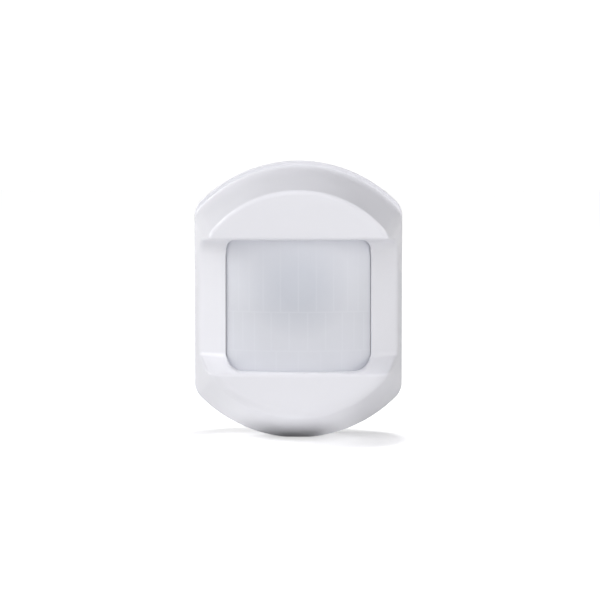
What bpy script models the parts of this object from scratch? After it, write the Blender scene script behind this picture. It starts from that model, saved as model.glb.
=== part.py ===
"""A wall-mounted passive infrared motion sensor, as it comes apart on a bench.

A wall bracket carries the rear case, which holds the circuit board, the infrared sensor and the
battery. The front cover, with its lens, is hooked on the top of the rear case and swings open.

Frame: X to the right seen from the front, Z up, and the front faces -Y. The origin is the centre
of the wall bracket's back face, so the wall is the plane y = 0. Lengths are in metres.
"""

import math

import bmesh
import bpy
from mathutils import Euler, Matrix, Vector

# Driving dimensions of the case: its outline is a circle cut by two upright flats
HEIGHT = 0.0813
WIDTH = 0.0610
DEPTH = 0.0460
CASE_RADIUS = HEIGHT / 2
CASE_HALF = WIDTH / 2
GAP = 0.0003
BACK_Y = -0.0006
SEAM_Y = -0.0140
FLANGE_Y = -0.0160
FRONT_Y = -DEPTH
WALL = 0.0022

# The front cover's drafted crown, from its foot on the flange to its face
CROWN_FOOT = (0.03990, 0.03040)
CROWN_FACE = (0.03220, 0.02580)
CROWN_DROP = -0.00065
FACE_ROUND = 0.0013

# The recess between brow and chin, whose back is an upright cylinder with 45 degree flares
OPTIC_Y = -0.0110
RECESS_RADIUS = 0.0310
RECESS_REACH = 0.0360
BROW_Z = 0.0184
BROW_SLOPE = 0.052
COVE = 0.0038
LEDGE_BACK_Z = -0.0157
LEDGE_FRONT_Z = -0.01985
RECESS_WALL = 0.0018
WINDOW_WALL = 0.0015
WINDOW_HALF = 0.0206
WINDOW_TOP = 0.01806
WINDOW_BOTTOM = -0.01945
WINDOW_TOP_CORNER = 0.0026
WINDOW_BOTTOM_CORNER = 0.0046

# Lens and retainer, both bent round the same upright axis
LENS_RADII = (0.0285, 0.0292)
LENS_ANGLE = 46.5
LENS_SPAN = (-0.0208, 0.0194)
RETAINER_RADII = (0.0272, 0.0282)
RETAINER_ANGLE = 47.5
RETAINER_SPAN = (-0.0223, 0.0209)

# Clips beside the window that hold the lens and its retainer: x from the middle, y, and heights
SNAP_X = (0.0202, 0.0254)
SNAP_Y = (-0.0289, -0.0269)
SNAP_HEIGHTS = (-0.0110, 0.0110)
SNAP_HALF = 0.0018

# The rear case: its back wall, and its lip inside the front cover with the cover's bore over it
CASE_CHAMFER = 0.0012
BACK_WALL = 0.0020
LIP_ROOT_Y = (-0.0112, -0.0126)
LIP_Y = -0.0155
LIP_OUTER = (0.03795, 0.02780)
LIP_INNER = (0.03700, 0.02685)
COVER_BORE = (0.03825, 0.02810)

# Bosses under the board screws, and round knock-outs thinned from inside, as (x, z)
BOSS_RADII = (0.0036, 0.0032)
BOSS_BORE = 0.00165
BOSS_BORE_FLOOR = -0.0036
KNOCK_OUTS_AT = ((-0.0225, -0.0190), (0.0225, -0.0190), (0.0, 0.0310))
KNOCK_OUT_RADIUS = 0.0026
KNOCK_OUT_WALL = 0.0011

# Wall bracket: a plate with four up-turned hooks, and the lift that frees the case from them
PLATE_HALF = (0.0150, 0.0200)
PLATE_THICK = 0.0024
HOOK_HALF_WIDTH = 0.0040
HOOK_NECK = 0.0030
HOOK_LIP = 0.0030
HOOK_REACH = (0.0051, 0.0066)
HOOK_PLACES = [(x, z) for x in (-0.009, 0.009) for z in (-0.012, 0.009)]
LIFT = 0.0040
PLATE_CORNER = 0.0025
POCKET_FLOOR = (-0.0028, -0.0048)
POCKET_ROOM = 0.0006
POCKET_RIM = 0.0020
WALL_SCREW_Z = 0.0145
WALL_SCREW_RADII = (0.0022, 0.0042)

# Circuit board, and the places of what it carries as (x, z)
BOARD_BACK_Y = -0.0082
BOARD_FACE_Y = -0.0098
BOARD_RADIUS = 0.0342
BOARD_HALF = 0.0263
PART_Y = BOARD_FACE_Y - GAP
SENSOR_AT = (0.0, 0.0046)
SCREWS_AT = {"left": (-0.0210, 0.0175), "right": (0.0210, -0.0030)}
TAMPER_AT = (0.0150, 0.0235)
CHIP_AT = (-0.0105, 0.0245)
SHIELD_AT = (0.0030, 0.0225)
CRYSTAL_AT = (0.0185, 0.0105)
CAPACITORS_AT = {"large": (-0.0185, 0.0065), "small": (-0.0185, -0.0030)}
LED_AT = (-0.0120, -0.0078)
HEADER_AT = (0.0120, -0.0092)
ANTENNA_Z = 0.0312

# Battery: one lithium cell lying across the chin
CELL_RADIUS = 0.0085
CELL_LENGTH = 0.0345
CELL_Z = -0.0215
CELL_Y = -0.0202
CELL_RIGHT = 0.0186
CRADLE_HALF = 0.0210

# Hinge line on the top outer edge of the seam, and the claw that hooks round it
HINGE = Vector((0.0, SEAM_Y, CASE_RADIUS))
CLAW_RADII = (0.0029, 0.0039)
CLAW_ANGLES = (-140.0, -22.0)
CLAW_HALF_WIDTH = 0.0035

# Release button: its corners, those of its stop flange, arm and tooth, and the openings for them
BUTTON = ((-0.0040, -0.0096, -0.0402), (0.0040, -0.0062, -0.0366))
BUTTON_FLANGE = ((-0.0055, -0.0108, -0.0377), (0.0055, -0.0050, -0.0367))
BUTTON_ARM = ((-0.0030, -0.0179, -0.0374), (0.0030, -0.0070, -0.03625))
BUTTON_TOOTH = ((-0.0030, -0.0179, -0.0375), (0.0030, -0.0165, -0.0364))
BUTTON_SLOT = ((-0.0043, -0.0099, -0.0427), (0.0043, -0.0059, -0.0370))
CATCH_NOTCH = ((-0.0045, -0.0165, -0.03835), (0.0045, -0.0109, -0.0350))
CATCH_RIB = ((-0.0035, -0.0160, -0.0390), (0.0035, -0.0146, -0.03775))

# Cover tamper switch: the post that reaches it, and the plunger's ends and bore
POST_END_Y = -0.0181
POST_RADII = (0.0024, 0.0016)
PLUNGER_Y = (-0.0122, -0.0178)
PLUNGER_RADIUS = 0.0013
PLUNGER_BORE = 0.0017
PLUNGER_BORE_FLOOR = -0.0114

ARC_STEPS = 24
ROUND_STEPS = 24

# Turns that lay a flat outline, drawn in x and y, in one of the three planes of the frame
FACING_UP = Euler((0.0, 0.0, 0.0))
FACING_FRONT = Euler((math.pi / 2, 0.0, 0.0))
FACING_RIGHT = Euler((math.pi / 2, 0.0, math.pi / 2))

# Colour, roughness and metallic value of each kind of material
FINISHES = {
    "white_plastic": ((0.86, 0.86, 0.88), 0.42, 0.0),
    "milky_lens": ((0.78, 0.79, 0.82), 0.35, 0.0),
    "natural_plastic": ((0.75, 0.75, 0.72), 0.5, 0.0),
    "steel": ((0.62, 0.63, 0.65), 0.3, 1.0),
    "board_green": ((0.03, 0.16, 0.07), 0.45, 0.0),
    "black_plastic": ((0.02, 0.02, 0.022), 0.5, 0.0),
    "foam": ((0.05, 0.05, 0.055), 0.95, 0.0),
    "filter_glass": ((0.06, 0.05, 0.06), 0.12, 0.0),
    "tin": ((0.70, 0.70, 0.68), 0.35, 1.0),
    "gold": ((0.83, 0.61, 0.25), 0.3, 1.0),
    "clear_epoxy": ((0.80, 0.10, 0.08), 0.1, 0.0),
    "cell_sleeve": ((0.10, 0.13, 0.22), 0.35, 0.0),
    "copper": ((0.72, 0.40, 0.22), 0.35, 1.0),
}


def new_collection(name):
    collection = bpy.data.collections.new(name)
    bpy.context.scene.collection.children.link(collection)
    return collection


def add_object(name, mesh):
    """An object of the mesh in the parts collection, until it's used as a cutter."""
    obj = bpy.data.objects.new(name, mesh)
    PARTS.objects.link(obj)
    return obj


def mesh_from(name, bm):
    """The bmesh as an object, with its faces pointing out."""
    bmesh.ops.recalc_face_normals(bm, faces=bm.faces)
    mesh = bpy.data.meshes.new(name)
    bm.to_mesh(mesh)
    bm.free()
    return add_object(name, mesh)


def box(name, low, high):
    """A box between two corners."""
    low, high = Vector(low), Vector(high)
    bm = bmesh.new()
    place = Matrix.Translation((low + high) / 2) @ Matrix.Diagonal((*(high - low), 1.0))
    bmesh.ops.create_cube(bm, size=1.0, matrix=place)
    return mesh_from(name, bm)


def rod(name, start, end, radius, end_radius=None, steps=ROUND_STEPS):
    """A round bar between two points, tapered where the end has a radius of its own."""
    start, end = Vector(start), Vector(end)
    turn = (end - start).to_track_quat("Z", "Y").to_matrix().to_4x4()
    bm = bmesh.new()
    bmesh.ops.create_cone(
        bm,
        cap_ends=True,
        segments=steps,
        radius1=radius,
        radius2=radius if end_radius is None else end_radius,
        depth=(end - start).length,
        matrix=Matrix.Translation((start + end) / 2) @ turn,
    )
    return mesh_from(name, bm)


def loft(name, rings):
    """A closed solid through rings of points, each ring with the same number of points."""
    bm = bmesh.new()
    loops = [[bm.verts.new(point) for point in ring] for ring in rings]
    for near, far in zip(loops, loops[1:]):
        for i in range(len(near)):
            j = (i + 1) % len(near)
            bm.faces.new((near[i], near[j], far[j], far[i]))
    bm.faces.new(loops[0])
    bm.faces.new(loops[-1])
    bmesh.ops.triangulate(bm, faces=bm.faces)
    return mesh_from(name, bm)


def plate(name, outline, thickness, turn, centre):
    """A flat outline of x and y points, made thick both ways, turned and moved into place."""
    curve = bpy.data.curves.new(name, "CURVE")
    curve.dimensions = "2D"
    curve.fill_mode = "BOTH"
    curve.extrude = thickness / 2
    spline = curve.splines.new("POLY")
    spline.points.add(len(outline) - 1)
    for point, (x, y) in zip(spline.points, outline):
        point.co = (x, y, 0.0, 1.0)
    spline.use_cyclic_u = True
    return mesh_of_curve(name, curve, Matrix.Translation(centre) @ turn.to_matrix().to_4x4())


def mesh_of_curve(name, curve, place):
    """The curve as a closed mesh, with its caps welded to its sides."""
    obj = bpy.data.objects.new(name + "_curve", curve)
    PARTS.objects.link(obj)
    obj.matrix_world = place
    bpy.context.view_layer.update()
    graph = bpy.context.evaluated_depsgraph_get()
    mesh = bpy.data.meshes.new_from_object(obj.evaluated_get(graph))
    mesh.transform(place)
    bpy.data.objects.remove(obj)
    bm = bmesh.new()
    bm.from_mesh(mesh)
    bmesh.ops.remove_doubles(bm, verts=bm.verts, dist=1e-6)
    return mesh_from(name, bm)


def wire(name, points, radius):
    """A round wire along points, closed at both ends."""
    curve = bpy.data.curves.new(name, "CURVE")
    curve.dimensions = "3D"
    curve.bevel_depth = radius
    curve.bevel_resolution = 1
    curve.use_fill_caps = True
    spline = curve.splines.new("POLY")
    spline.points.add(len(points) - 1)
    for point, place in zip(spline.points, points):
        point.co = (*place, 1.0)
    return mesh_of_curve(name, curve, Matrix.Identity(4))


def turned(name, profile, turn, centre, steps=ROUND_STEPS):
    """A turned piece from a profile of radius and height, from the top down its outer side."""
    bm = bmesh.new()
    points = [bm.verts.new((radius, 0.0, height)) for radius, height in profile]
    for above, below in zip(points, points[1:]):
        bm.edges.new((above, below))
    mesh = bpy.data.meshes.new(name)
    bm.to_mesh(mesh)
    bm.free()
    obj = add_object(name, mesh)
    obj.rotation_euler = turn
    obj.location = centre
    screw = obj.modifiers.new("turn", "SCREW")
    screw.steps = steps
    screw.render_steps = steps
    screw.use_merge_vertices = True
    screw.merge_threshold = 1e-5
    return obj


def boolean(target, tool, operation):
    """Cuts the tool from the target or joins it to the target, and puts the tool out of sight."""
    change = target.modifiers.new(tool.name, "BOOLEAN")
    change.operation = operation
    change.solver = "EXACT"
    change.object = tool
    PARTS.objects.unlink(tool)
    CUTTERS.objects.link(tool)
    tool.hide_render = True
    tool.display_type = "WIRE"


def cut(target, *tools):
    for tool in tools:
        boolean(target, tool, "DIFFERENCE")


def join(target, *tools):
    for tool in tools:
        boolean(target, tool, "UNION")


def finish(obj, finish_name, bevel=0.0):
    """Gives the object its own material, and small bevels where asked."""
    colour, roughness, metallic = FINISHES[finish_name]
    material = bpy.data.materials.new(obj.name + "_" + finish_name)
    material.use_nodes = True
    shader = material.node_tree.nodes["Principled BSDF"]
    shader.inputs["Base Color"].default_value = (*colour, 1.0)
    shader.inputs["Roughness"].default_value = roughness
    shader.inputs["Metallic"].default_value = metallic
    obj.data.materials.append(material)
    if bevel:
        edge = obj.modifiers.new("edges", "BEVEL")
        edge.width = bevel
        edge.segments = 2
        edge.limit_method = "ANGLE"
    return obj


def arc(centre, radius, start, end, steps):
    """Points on an arc in its plane, between two angles in degrees."""
    angles = [math.radians(start + (end - start) * i / steps) for i in range(steps + 1)]
    return [(centre[0] + radius * math.cos(a), centre[1] + radius * math.sin(a)) for a in angles]


def band(radii, half_angle, steps=ROUND_STEPS):
    """The plan of a wall bent round the optic axis: an outer arc, and an inner arc back."""
    centre = (0.0, OPTIC_Y)
    outer = arc(centre, radii[1], -90 - half_angle, -90 + half_angle, steps)
    inner = arc(centre, radii[0], -90 + half_angle, -90 - half_angle, steps)
    return outer + inner


def rounded_window(half_width, bottom, top, bottom_corner, top_corner):
    """A rectangle in front view whose corners are arcs."""
    corners = [
        (half_width - top_corner, top - top_corner, top_corner, 0),
        (-half_width + top_corner, top - top_corner, top_corner, 90),
        (-half_width + bottom_corner, bottom + bottom_corner, bottom_corner, 180),
        (half_width - bottom_corner, bottom + bottom_corner, bottom_corner, 270),
    ]
    points = []
    for x, z, radius, start in corners:
        points += arc((x, z), radius, start, start + 90, 6)
    return points


def cut_circle(radius, half_width, centre_z=0.0):
    """The case's outline in front view: a circle cut by two flats, as x and z points."""
    reach = math.degrees(math.acos(half_width / radius))
    centre = (0.0, centre_z)
    top = arc(centre, radius, reach, 180 - reach, ARC_STEPS)
    bottom = arc(centre, radius, 180 + reach, 360 - reach, ARC_STEPS)
    return top + bottom


def case_ring(y, radius, half_width, centre_z=0.0):
    return [(x, y, z) for x, z in cut_circle(radius, half_width, centre_z)]


def drafted(y, foot, face):
    """The crown's half size at depth y: a straight draft that ends in a round at the face."""
    slope = (foot - face) / (FLANGE_Y - FRONT_Y)
    from_face = y - FRONT_Y
    straight = face + slope * from_face
    centre = face + slope * FACE_ROUND - FACE_ROUND * math.hypot(1.0, slope)
    if from_face >= FACE_ROUND * (1.0 - math.sin(math.atan(slope))):
        return straight
    return centre + math.sqrt(FACE_ROUND**2 - (FACE_ROUND - from_face) ** 2)


def crown_ring(y, inset=0.0):
    """The front cover's outline on its drafted crown, moved in by a wall's thickness."""
    drop = CROWN_DROP * (y - FRONT_Y) / (FLANGE_Y - FRONT_Y)
    radius = drafted(y, CROWN_FOOT[0], CROWN_FACE[0]) - inset
    half_width = drafted(y, CROWN_FOOT[1], CROWN_FACE[1]) - inset
    return case_ring(y, radius, half_width, drop)


def recess(name, radius, brow_z, ledge_back_z, ledge_front_z, cove, reach):
    """The space between brow and chin, in front of an upright cylinder with 45 degree flares.

    Its sections stand side by side along X. Each runs back under the brow, down a cove and the
    cylinder or flare, and forward down the ledge, which is ruled from its level back to the
    chin's straight front edge.
    """
    tangent = radius * math.sin(math.pi / 4)
    stations = [radius * math.sin(math.radians(-45 + 7.5 * i)) for i in range(13)]
    if reach > tangent:
        stations = [-reach] + stations + [reach]
    else:
        stations = [-reach] + [x for x in stations if abs(x) < reach] + [reach]
    mouth_y = FRONT_Y - 0.004
    rings = []
    for x in stations:
        if abs(x) <= tangent:
            back = OPTIC_Y - math.sqrt(radius**2 - x**2)
        else:
            back = OPTIC_Y - 2 * tangent + abs(x)
        roof = brow_z - BROW_SLOPE * (back - FRONT_Y)
        ring = [(mouth_y, brow_z + BROW_SLOPE * (FRONT_Y - mouth_y))]
        ring += arc((back - cove, roof - cove), cove, 90, 0, 4)
        ring += [(back, ledge_back_z), (FRONT_Y, ledge_front_z), (mouth_y, ledge_front_z)]
        rings.append([(x, y, z) for y, z in ring])
    return loft(name, rings)


def make_bracket():
    """The plate that is screwed to the wall, with its hooks and countersunk screw holes."""
    outline = rounded_window(
        PLATE_HALF[0], -PLATE_HALF[1], PLATE_HALF[1], PLATE_CORNER, PLATE_CORNER
    )
    plate_centre = (0.0, -PLATE_THICK / 2, 0.0)
    bracket = plate("wall_bracket", outline, PLATE_THICK, FACING_FRONT, plate_centre)
    neck_half = HOOK_NECK / 2
    hook = [
        (-PLATE_THICK + 0.0006, -neck_half),
        (-HOOK_REACH[1], -neck_half),
        (-HOOK_REACH[1], neck_half + HOOK_LIP),
        (-HOOK_REACH[0], neck_half + HOOK_LIP),
        (-HOOK_REACH[0], neck_half),
        (-PLATE_THICK + 0.0006, neck_half),
    ]
    for i, (x, z) in enumerate(HOOK_PLACES):
        name = f"bracket_hook_{i}"
        join(bracket, plate(name, hook, 2 * HOOK_HALF_WIDTH, FACING_RIGHT, (x, 0.0, z)))
    for i, z in enumerate((-WALL_SCREW_Z, WALL_SCREW_Z)):
        hole = rod(f"wall_screw_hole_{i}", (0, 0.001, z), (0, -0.004, z), WALL_SCREW_RADII[0])
        ends = ((0, -PLATE_THICK / 2, z), (0, -PLATE_THICK - 0.0004, z))
        sink = rod(f"wall_screw_sink_{i}", *ends, *WALL_SCREW_RADII)
        cut(bracket, hole, sink)
    return finish(bracket, "white_plastic")


def make_rear_cover():
    """The rear case: wall, lip, bracket pocket, board bosses, and openings for hooks and catch."""
    rings = [
        case_ring(BACK_Y, CASE_RADIUS - CASE_CHAMFER, CASE_HALF - CASE_CHAMFER),
        case_ring(BACK_Y - CASE_CHAMFER, CASE_RADIUS, CASE_HALF),
        case_ring(SEAM_Y + GAP / 2, CASE_RADIUS, CASE_HALF),
        case_ring(SEAM_Y + GAP / 2, *LIP_OUTER),
        case_ring(LIP_Y, *LIP_OUTER),
    ]
    cover = loft("rear_cover", rings)
    inside = (CASE_RADIUS - WALL, CASE_HALF - WALL)
    floor_y = BACK_Y - BACK_WALL
    hollow = [
        case_ring(floor_y, *inside),
        case_ring(LIP_ROOT_Y[0], *inside),
        case_ring(LIP_ROOT_Y[1], *LIP_INNER),
        case_ring(LIP_Y - 0.002, *LIP_INNER),
    ]
    cut(cover, loft("rear_hollow", hollow))

    # Pocket for the bracket, deep enough below it for the lift, with its floor raised inside
    low_z = -PLATE_HALF[1] - LIFT - POCKET_ROOM
    high_z = PLATE_HALF[1] + POCKET_ROOM
    side = PLATE_HALF[0] + POCKET_ROOM
    floor_low = (-side - POCKET_RIM, POCKET_FLOOR[1], low_z - POCKET_RIM)
    floor_high = (side + POCKET_RIM, BACK_Y - BACK_WALL / 2, high_z + POCKET_RIM)
    join(cover, box("pocket_floor", floor_low, floor_high))
    cut(cover, box("pocket", (-side, POCKET_FLOOR[0], low_z), (side, 0.002, high_z)))
    for i, (x, z) in enumerate(HOOK_PLACES):
        top = z + HOOK_NECK / 2 + GAP
        bottom = top - HOOK_NECK - HOOK_LIP - LIFT + 0.0018
        half = HOOK_HALF_WIDTH + GAP
        cut(cover, box(f"hook_slot_{i}", (x - half, -0.006, bottom), (x + half, -0.001, top)))

    for side_name, (x, z) in SCREWS_AT.items():
        foot = (x, BACK_Y - BACK_WALL / 2, z)
        boss = rod("boss_" + side_name, foot, (x, BOARD_BACK_Y + GAP, z), *BOSS_RADII)
        hole_ends = ((x, BOSS_BORE_FLOOR, z), (x, BOARD_FACE_Y, z))
        hole = rod("boss_hole_" + side_name, *hole_ends, BOSS_BORE)
        join(cover, boss)
        cut(cover, hole)

    for i, (x, z) in enumerate(KNOCK_OUTS_AT):
        ends = ((x, BACK_Y - KNOCK_OUT_WALL, z), (x, floor_y - 0.002, z))
        cut(cover, rod(f"knock_out_{i}", *ends, KNOCK_OUT_RADIUS))

    cut(cover, claw_sector("claw_slot", (0.0026, 0.0042), (-150, -14), CLAW_HALF_WIDTH + GAP))
    cut(cover, box("button_slot", *BUTTON_SLOT), box("catch_notch", *CATCH_NOTCH))
    return finish(cover, "white_plastic")


def claw_sector(name, radii, angles, half_width):
    """Part of a ring round the hinge line, seen from the right."""
    outline = arc((0, 0), radii[1], angles[0], angles[1], 12)
    outline += arc((0, 0), radii[0], angles[1], angles[0], 12)
    return plate(name, outline, 2 * half_width, FACING_RIGHT, HINGE)


def make_release_button():
    """The push button in the bottom wall: its stem, its stop flange, and the arm with the catch."""
    button = box("release_button", *BUTTON)
    flange = box("button_flange", *BUTTON_FLANGE)
    join(button, flange, box("button_arm", *BUTTON_ARM), box("button_tooth", *BUTTON_TOOTH))
    return finish(button, "white_plastic")


def make_front_cover():
    """The front cover: flange, drafted crown with brow, cheeks and chin, all as one shell."""
    centre_y = FRONT_Y + FACE_ROUND
    rings = [case_ring(SEAM_Y - GAP / 2, CASE_RADIUS, CASE_HALF)]
    rings += [case_ring(FLANGE_Y, CASE_RADIUS, CASE_HALF), crown_ring(FLANGE_Y)]
    for degrees in (14.5, 35, 60, 90):
        rings.append(crown_ring(centre_y - FACE_ROUND * math.sin(math.radians(degrees))))
    cover = loft("front_cover", rings)

    outer = (BROW_Z, LEDGE_BACK_Z, LEDGE_FRONT_Z)
    cut(cover, recess("recess_space", RECESS_RADIUS, *outer, COVE, RECESS_REACH))

    # What is hollow inside: the crown less its wall, the recess with its wall, and a frame
    # of solid wall round the window
    hollow = [
        case_ring(SEAM_Y + 0.002, *COVER_BORE),
        case_ring(FLANGE_Y + 0.0002, *COVER_BORE),
        crown_ring(FLANGE_Y - 0.0004, WALL),
        crown_ring(FRONT_Y + WALL, WALL),
    ]
    hollow_solid = loft("cover_hollow", hollow)
    seat_radius = RECESS_RADIUS - WINDOW_WALL
    behind = (BROW_Z + RECESS_WALL, LEDGE_BACK_Z - RECESS_WALL, LEDGE_FRONT_Z - RECESS_WALL)
    cut(hollow_solid, recess("recess_wall", seat_radius, *behind, COVE, RECESS_REACH))
    frame_bottom = WINDOW_BOTTOM - 0.0020
    frame_size = (WINDOW_TOP + 0.0024, frame_bottom, frame_bottom, COVE, WINDOW_HALF + 0.0002)
    cut(hollow_solid, recess("window_frame", seat_radius, *frame_size))
    cut(cover, hollow_solid)

    outline = rounded_window(
        WINDOW_HALF, WINDOW_BOTTOM, WINDOW_TOP, WINDOW_BOTTOM_CORNER, WINDOW_TOP_CORNER
    )
    cut(cover, plate("window_opening", outline, 0.022, FACING_FRONT, (0.0, -0.039, 0.0)))

    join(cover, box("catch_rib", *CATCH_RIB))
    x, z = TAMPER_AT
    post_ends = ((x, FRONT_Y + 0.001, z), (x, POST_END_Y, z))
    join(cover, rod("tamper_post", *post_ends, *POST_RADII, steps=12))
    for i, side in enumerate((-1, 1)):
        near, far = sorted((side * SNAP_X[0], side * SNAP_X[1]))
        for j, middle in enumerate(SNAP_HEIGHTS):
            low = (near, SNAP_Y[0], middle - SNAP_HALF)
            high = (far, SNAP_Y[1], middle + SNAP_HALF)
            join(cover, box(f"lens_snap_{i}{j}", low, high))
    join(cover, claw_sector("hinge_claw", CLAW_RADII, CLAW_ANGLES, CLAW_HALF_WIDTH))
    return finish(cover, "white_plastic")


def make_lens():
    """The lens, a thin sheet bent round the optic axis."""
    height = LENS_SPAN[1] - LENS_SPAN[0]
    centre = (0.0, 0.0, sum(LENS_SPAN) / 2)
    lens = plate("fresnel_lens", band(LENS_RADII, LENS_ANGLE), height, FACING_UP, centre)
    return finish(lens, "milky_lens")


def make_lens_retainer():
    """The frame behind the lens, with an opening a little smaller than the cover's window."""
    height = RETAINER_SPAN[1] - RETAINER_SPAN[0]
    centre = (0.0, 0.0, sum(RETAINER_SPAN) / 2)
    frame = plate(
        "lens_retainer", band(RETAINER_RADII, RETAINER_ANGLE), height, FACING_UP, centre
    )
    inset = 0.0012
    outline = rounded_window(
        WINDOW_HALF - 2 * inset, WINDOW_BOTTOM + inset, WINDOW_TOP - inset, 0.003, 0.002
    )
    cut(frame, plate("retainer_opening", outline, 0.022, FACING_FRONT, (0.0, -0.037, 0.0)))
    return finish(frame, "natural_plastic")


def make_board():
    """The circuit board: the case's outline again, with its two screw holes."""
    thickness = BOARD_BACK_Y - BOARD_FACE_Y
    centre = (0.0, (BOARD_BACK_Y + BOARD_FACE_Y) / 2, 0.0)
    outline = cut_circle(BOARD_RADIUS, BOARD_HALF)
    board = plate("circuit_board", outline, thickness, FACING_FRONT, centre)
    for side_name, (x, z) in SCREWS_AT.items():
        hole = rod("board_hole_" + side_name, (x, -0.0075, z), (x, -0.0105, z), 0.0017)
        cut(board, hole)
    return finish(board, "board_green")


def make_board_screw(side_name):
    """A pan-head screw that holds the board on its boss, with a cross recess."""
    x, z = SCREWS_AT[side_name]
    profile = [
        (0.0, 0.0019),
        (0.0012, 0.0018),
        (0.0022, 0.0013),
        (0.0027, 0.0004),
        (0.0027, 0.0),
        (0.0013, 0.0),
        (0.0013, -0.0052),
        (0.0, -0.0056),
    ]
    screw = turned("pcb_screw_" + side_name, profile, FACING_FRONT, (x, PART_Y, z), 16)
    top = PART_Y - 0.0024
    bottom = PART_Y - 0.0010
    bars = {"across": (0.0016, 0.0004), "upright": (0.0004, 0.0016)}
    for name, (half_x, half_z) in bars.items():
        low = (x - half_x, top, z - half_z)
        high = (x + half_x, bottom, z + half_z)
        cut(screw, box(f"recess_{name}_{side_name}", low, high))
    return finish(screw, "steel")


def on_board(name, at, half_x, half_z, height):
    """A box that stands on the board's face."""
    x, z = at
    low = (x - half_x, PART_Y - height, z - half_z)
    return box(name, low, (x + half_x, PART_Y, z + half_z))


def make_sensor():
    """The infrared sensor: spacer, metal can with a sunk window, and the foam ring round it."""
    x, z = SENSOR_AT
    seat = (x, PART_Y, z)
    spacer_top = 0.0006
    can_base = spacer_top + GAP
    spacer = rod("pir_spacer", seat, (x, PART_Y - spacer_top, z), 0.0046)
    profile = [
        (0.0, can_base + 0.0042),
        (0.0037, can_base + 0.0042),
        (0.0041, can_base + 0.0038),
        (0.0041, can_base + 0.0006),
        (0.0046, can_base + 0.0006),
        (0.0046, can_base),
        (0.0, can_base),
    ]
    can = turned("pir_can", profile, FACING_FRONT, seat)
    top = PART_Y - can_base - 0.0042
    opening = (0.0027, 0.0022)
    low = (x - opening[0], top - 0.001, z - opening[1])
    cut(can, box("can_window", low, (x + opening[0], top + 0.0009, z + opening[1])))
    pane_low = (x - opening[0] + GAP, top + 0.0001, z - opening[1] + GAP)
    pane_high = (x + opening[0] - GAP, top + 0.0006, z + opening[1] - GAP)
    ring = [
        (0.0056, 0.0030),
        (0.0098, 0.0030),
        (0.0110, 0.0018),
        (0.0110, 0.0),
        (0.0056, 0.0),
        (0.0056, 0.0030),
    ]
    finish(turned("sensor_gasket", ring, FACING_FRONT, seat, 32), "foam")
    finish(spacer, "black_plastic")
    finish(can, "steel")
    finish(box("pir_window", pane_low, pane_high), "filter_glass")


def make_board_parts():
    """What else stands on the board."""
    finish(on_board("microcontroller", CHIP_AT, 0.0035, 0.0035, 0.0014), "black_plastic", 0.0002)
    finish(on_board("rf_shield", SHIELD_AT, 0.0060, 0.0050, 0.0024), "tin", 0.0003)

    x, z = CRYSTAL_AT
    outline = arc((0.0, 0.0033), 0.0021, 0, 180, 10) + arc((0.0, -0.0033), 0.0021, 180, 360, 10)
    crystal = plate("crystal", outline, 0.0034, FACING_FRONT, (x, PART_Y - 0.0017, z))
    finish(crystal, "tin", 0.0003)

    for name, (radius, height) in {"large": (0.00315, 0.0078), "small": (0.0025, 0.0058)}.items():
        x, z = CAPACITORS_AT[name]
        profile = [
            (0.0, height - 0.0003),
            (radius - 0.0008, height - 0.0003),
            (radius - 0.0005, height),
            (radius, height - 0.0004),
            (radius, 0.0020),
            (radius - 0.0003, 0.0016),
            (radius, 0.0012),
            (radius, 0.0),
            (0.0, 0.0),
        ]
        capacitor = turned("capacitor_" + name, profile, FACING_FRONT, (x, PART_Y, z), 20)
        finish(capacitor, "black_plastic")

    x, z = LED_AT
    dome = [(radius, 0.0036 + rise) for radius, rise in arc((0, 0), 0.0015, 90, 0, 5)]
    dome[0] = (0.0, dome[0][1])
    led_profile = dome + [(0.0015, 0.0010), (0.0019, 0.0010), (0.0019, 0.0), (0.0, 0.0)]
    finish(turned("status_led", led_profile, FACING_FRONT, (x, PART_Y, z), 20), "clear_epoxy")

    reach, turns, per_turn, radius = 0.0085, 7, 10, 0.0021
    centre_y = PART_Y - radius - 0.0012
    coil = [(-reach, PART_Y - 0.0006, ANTENNA_Z - radius)]
    for i in range(turns * per_turn + 1):
        share = i / (turns * per_turn)
        angle = 2 * math.pi * i / per_turn
        x = -reach + 2 * reach * share
        coil.append((x, centre_y + radius * math.sin(angle), ANTENNA_Z - radius * math.cos(angle)))
    coil.append((reach, PART_Y - 0.0006, ANTENNA_Z - radius))
    finish(wire("antenna_coil", coil, 0.0004), "copper")


def make_tamper_switch():
    """The cover tamper switch, with the plunger that the cover's post holds down."""
    x, z = TAMPER_AT
    switch = on_board("tamper_switch", TAMPER_AT, 0.0030, 0.0030, 0.0044)
    bore_ends = ((x, PLUNGER_BORE_FLOOR, z), (x, PLUNGER_BORE_FLOOR - 0.0046, z))
    cut(switch, rod("plunger_bore", *bore_ends, PLUNGER_BORE))
    ends = ((x, PLUNGER_Y[0], z), (x, PLUNGER_Y[1], z))
    plunger = rod("tamper_plunger", *ends, PLUNGER_RADIUS, steps=16)
    finish(switch, "black_plastic")
    return finish(plunger, "natural_plastic", 0.0003)


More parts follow.
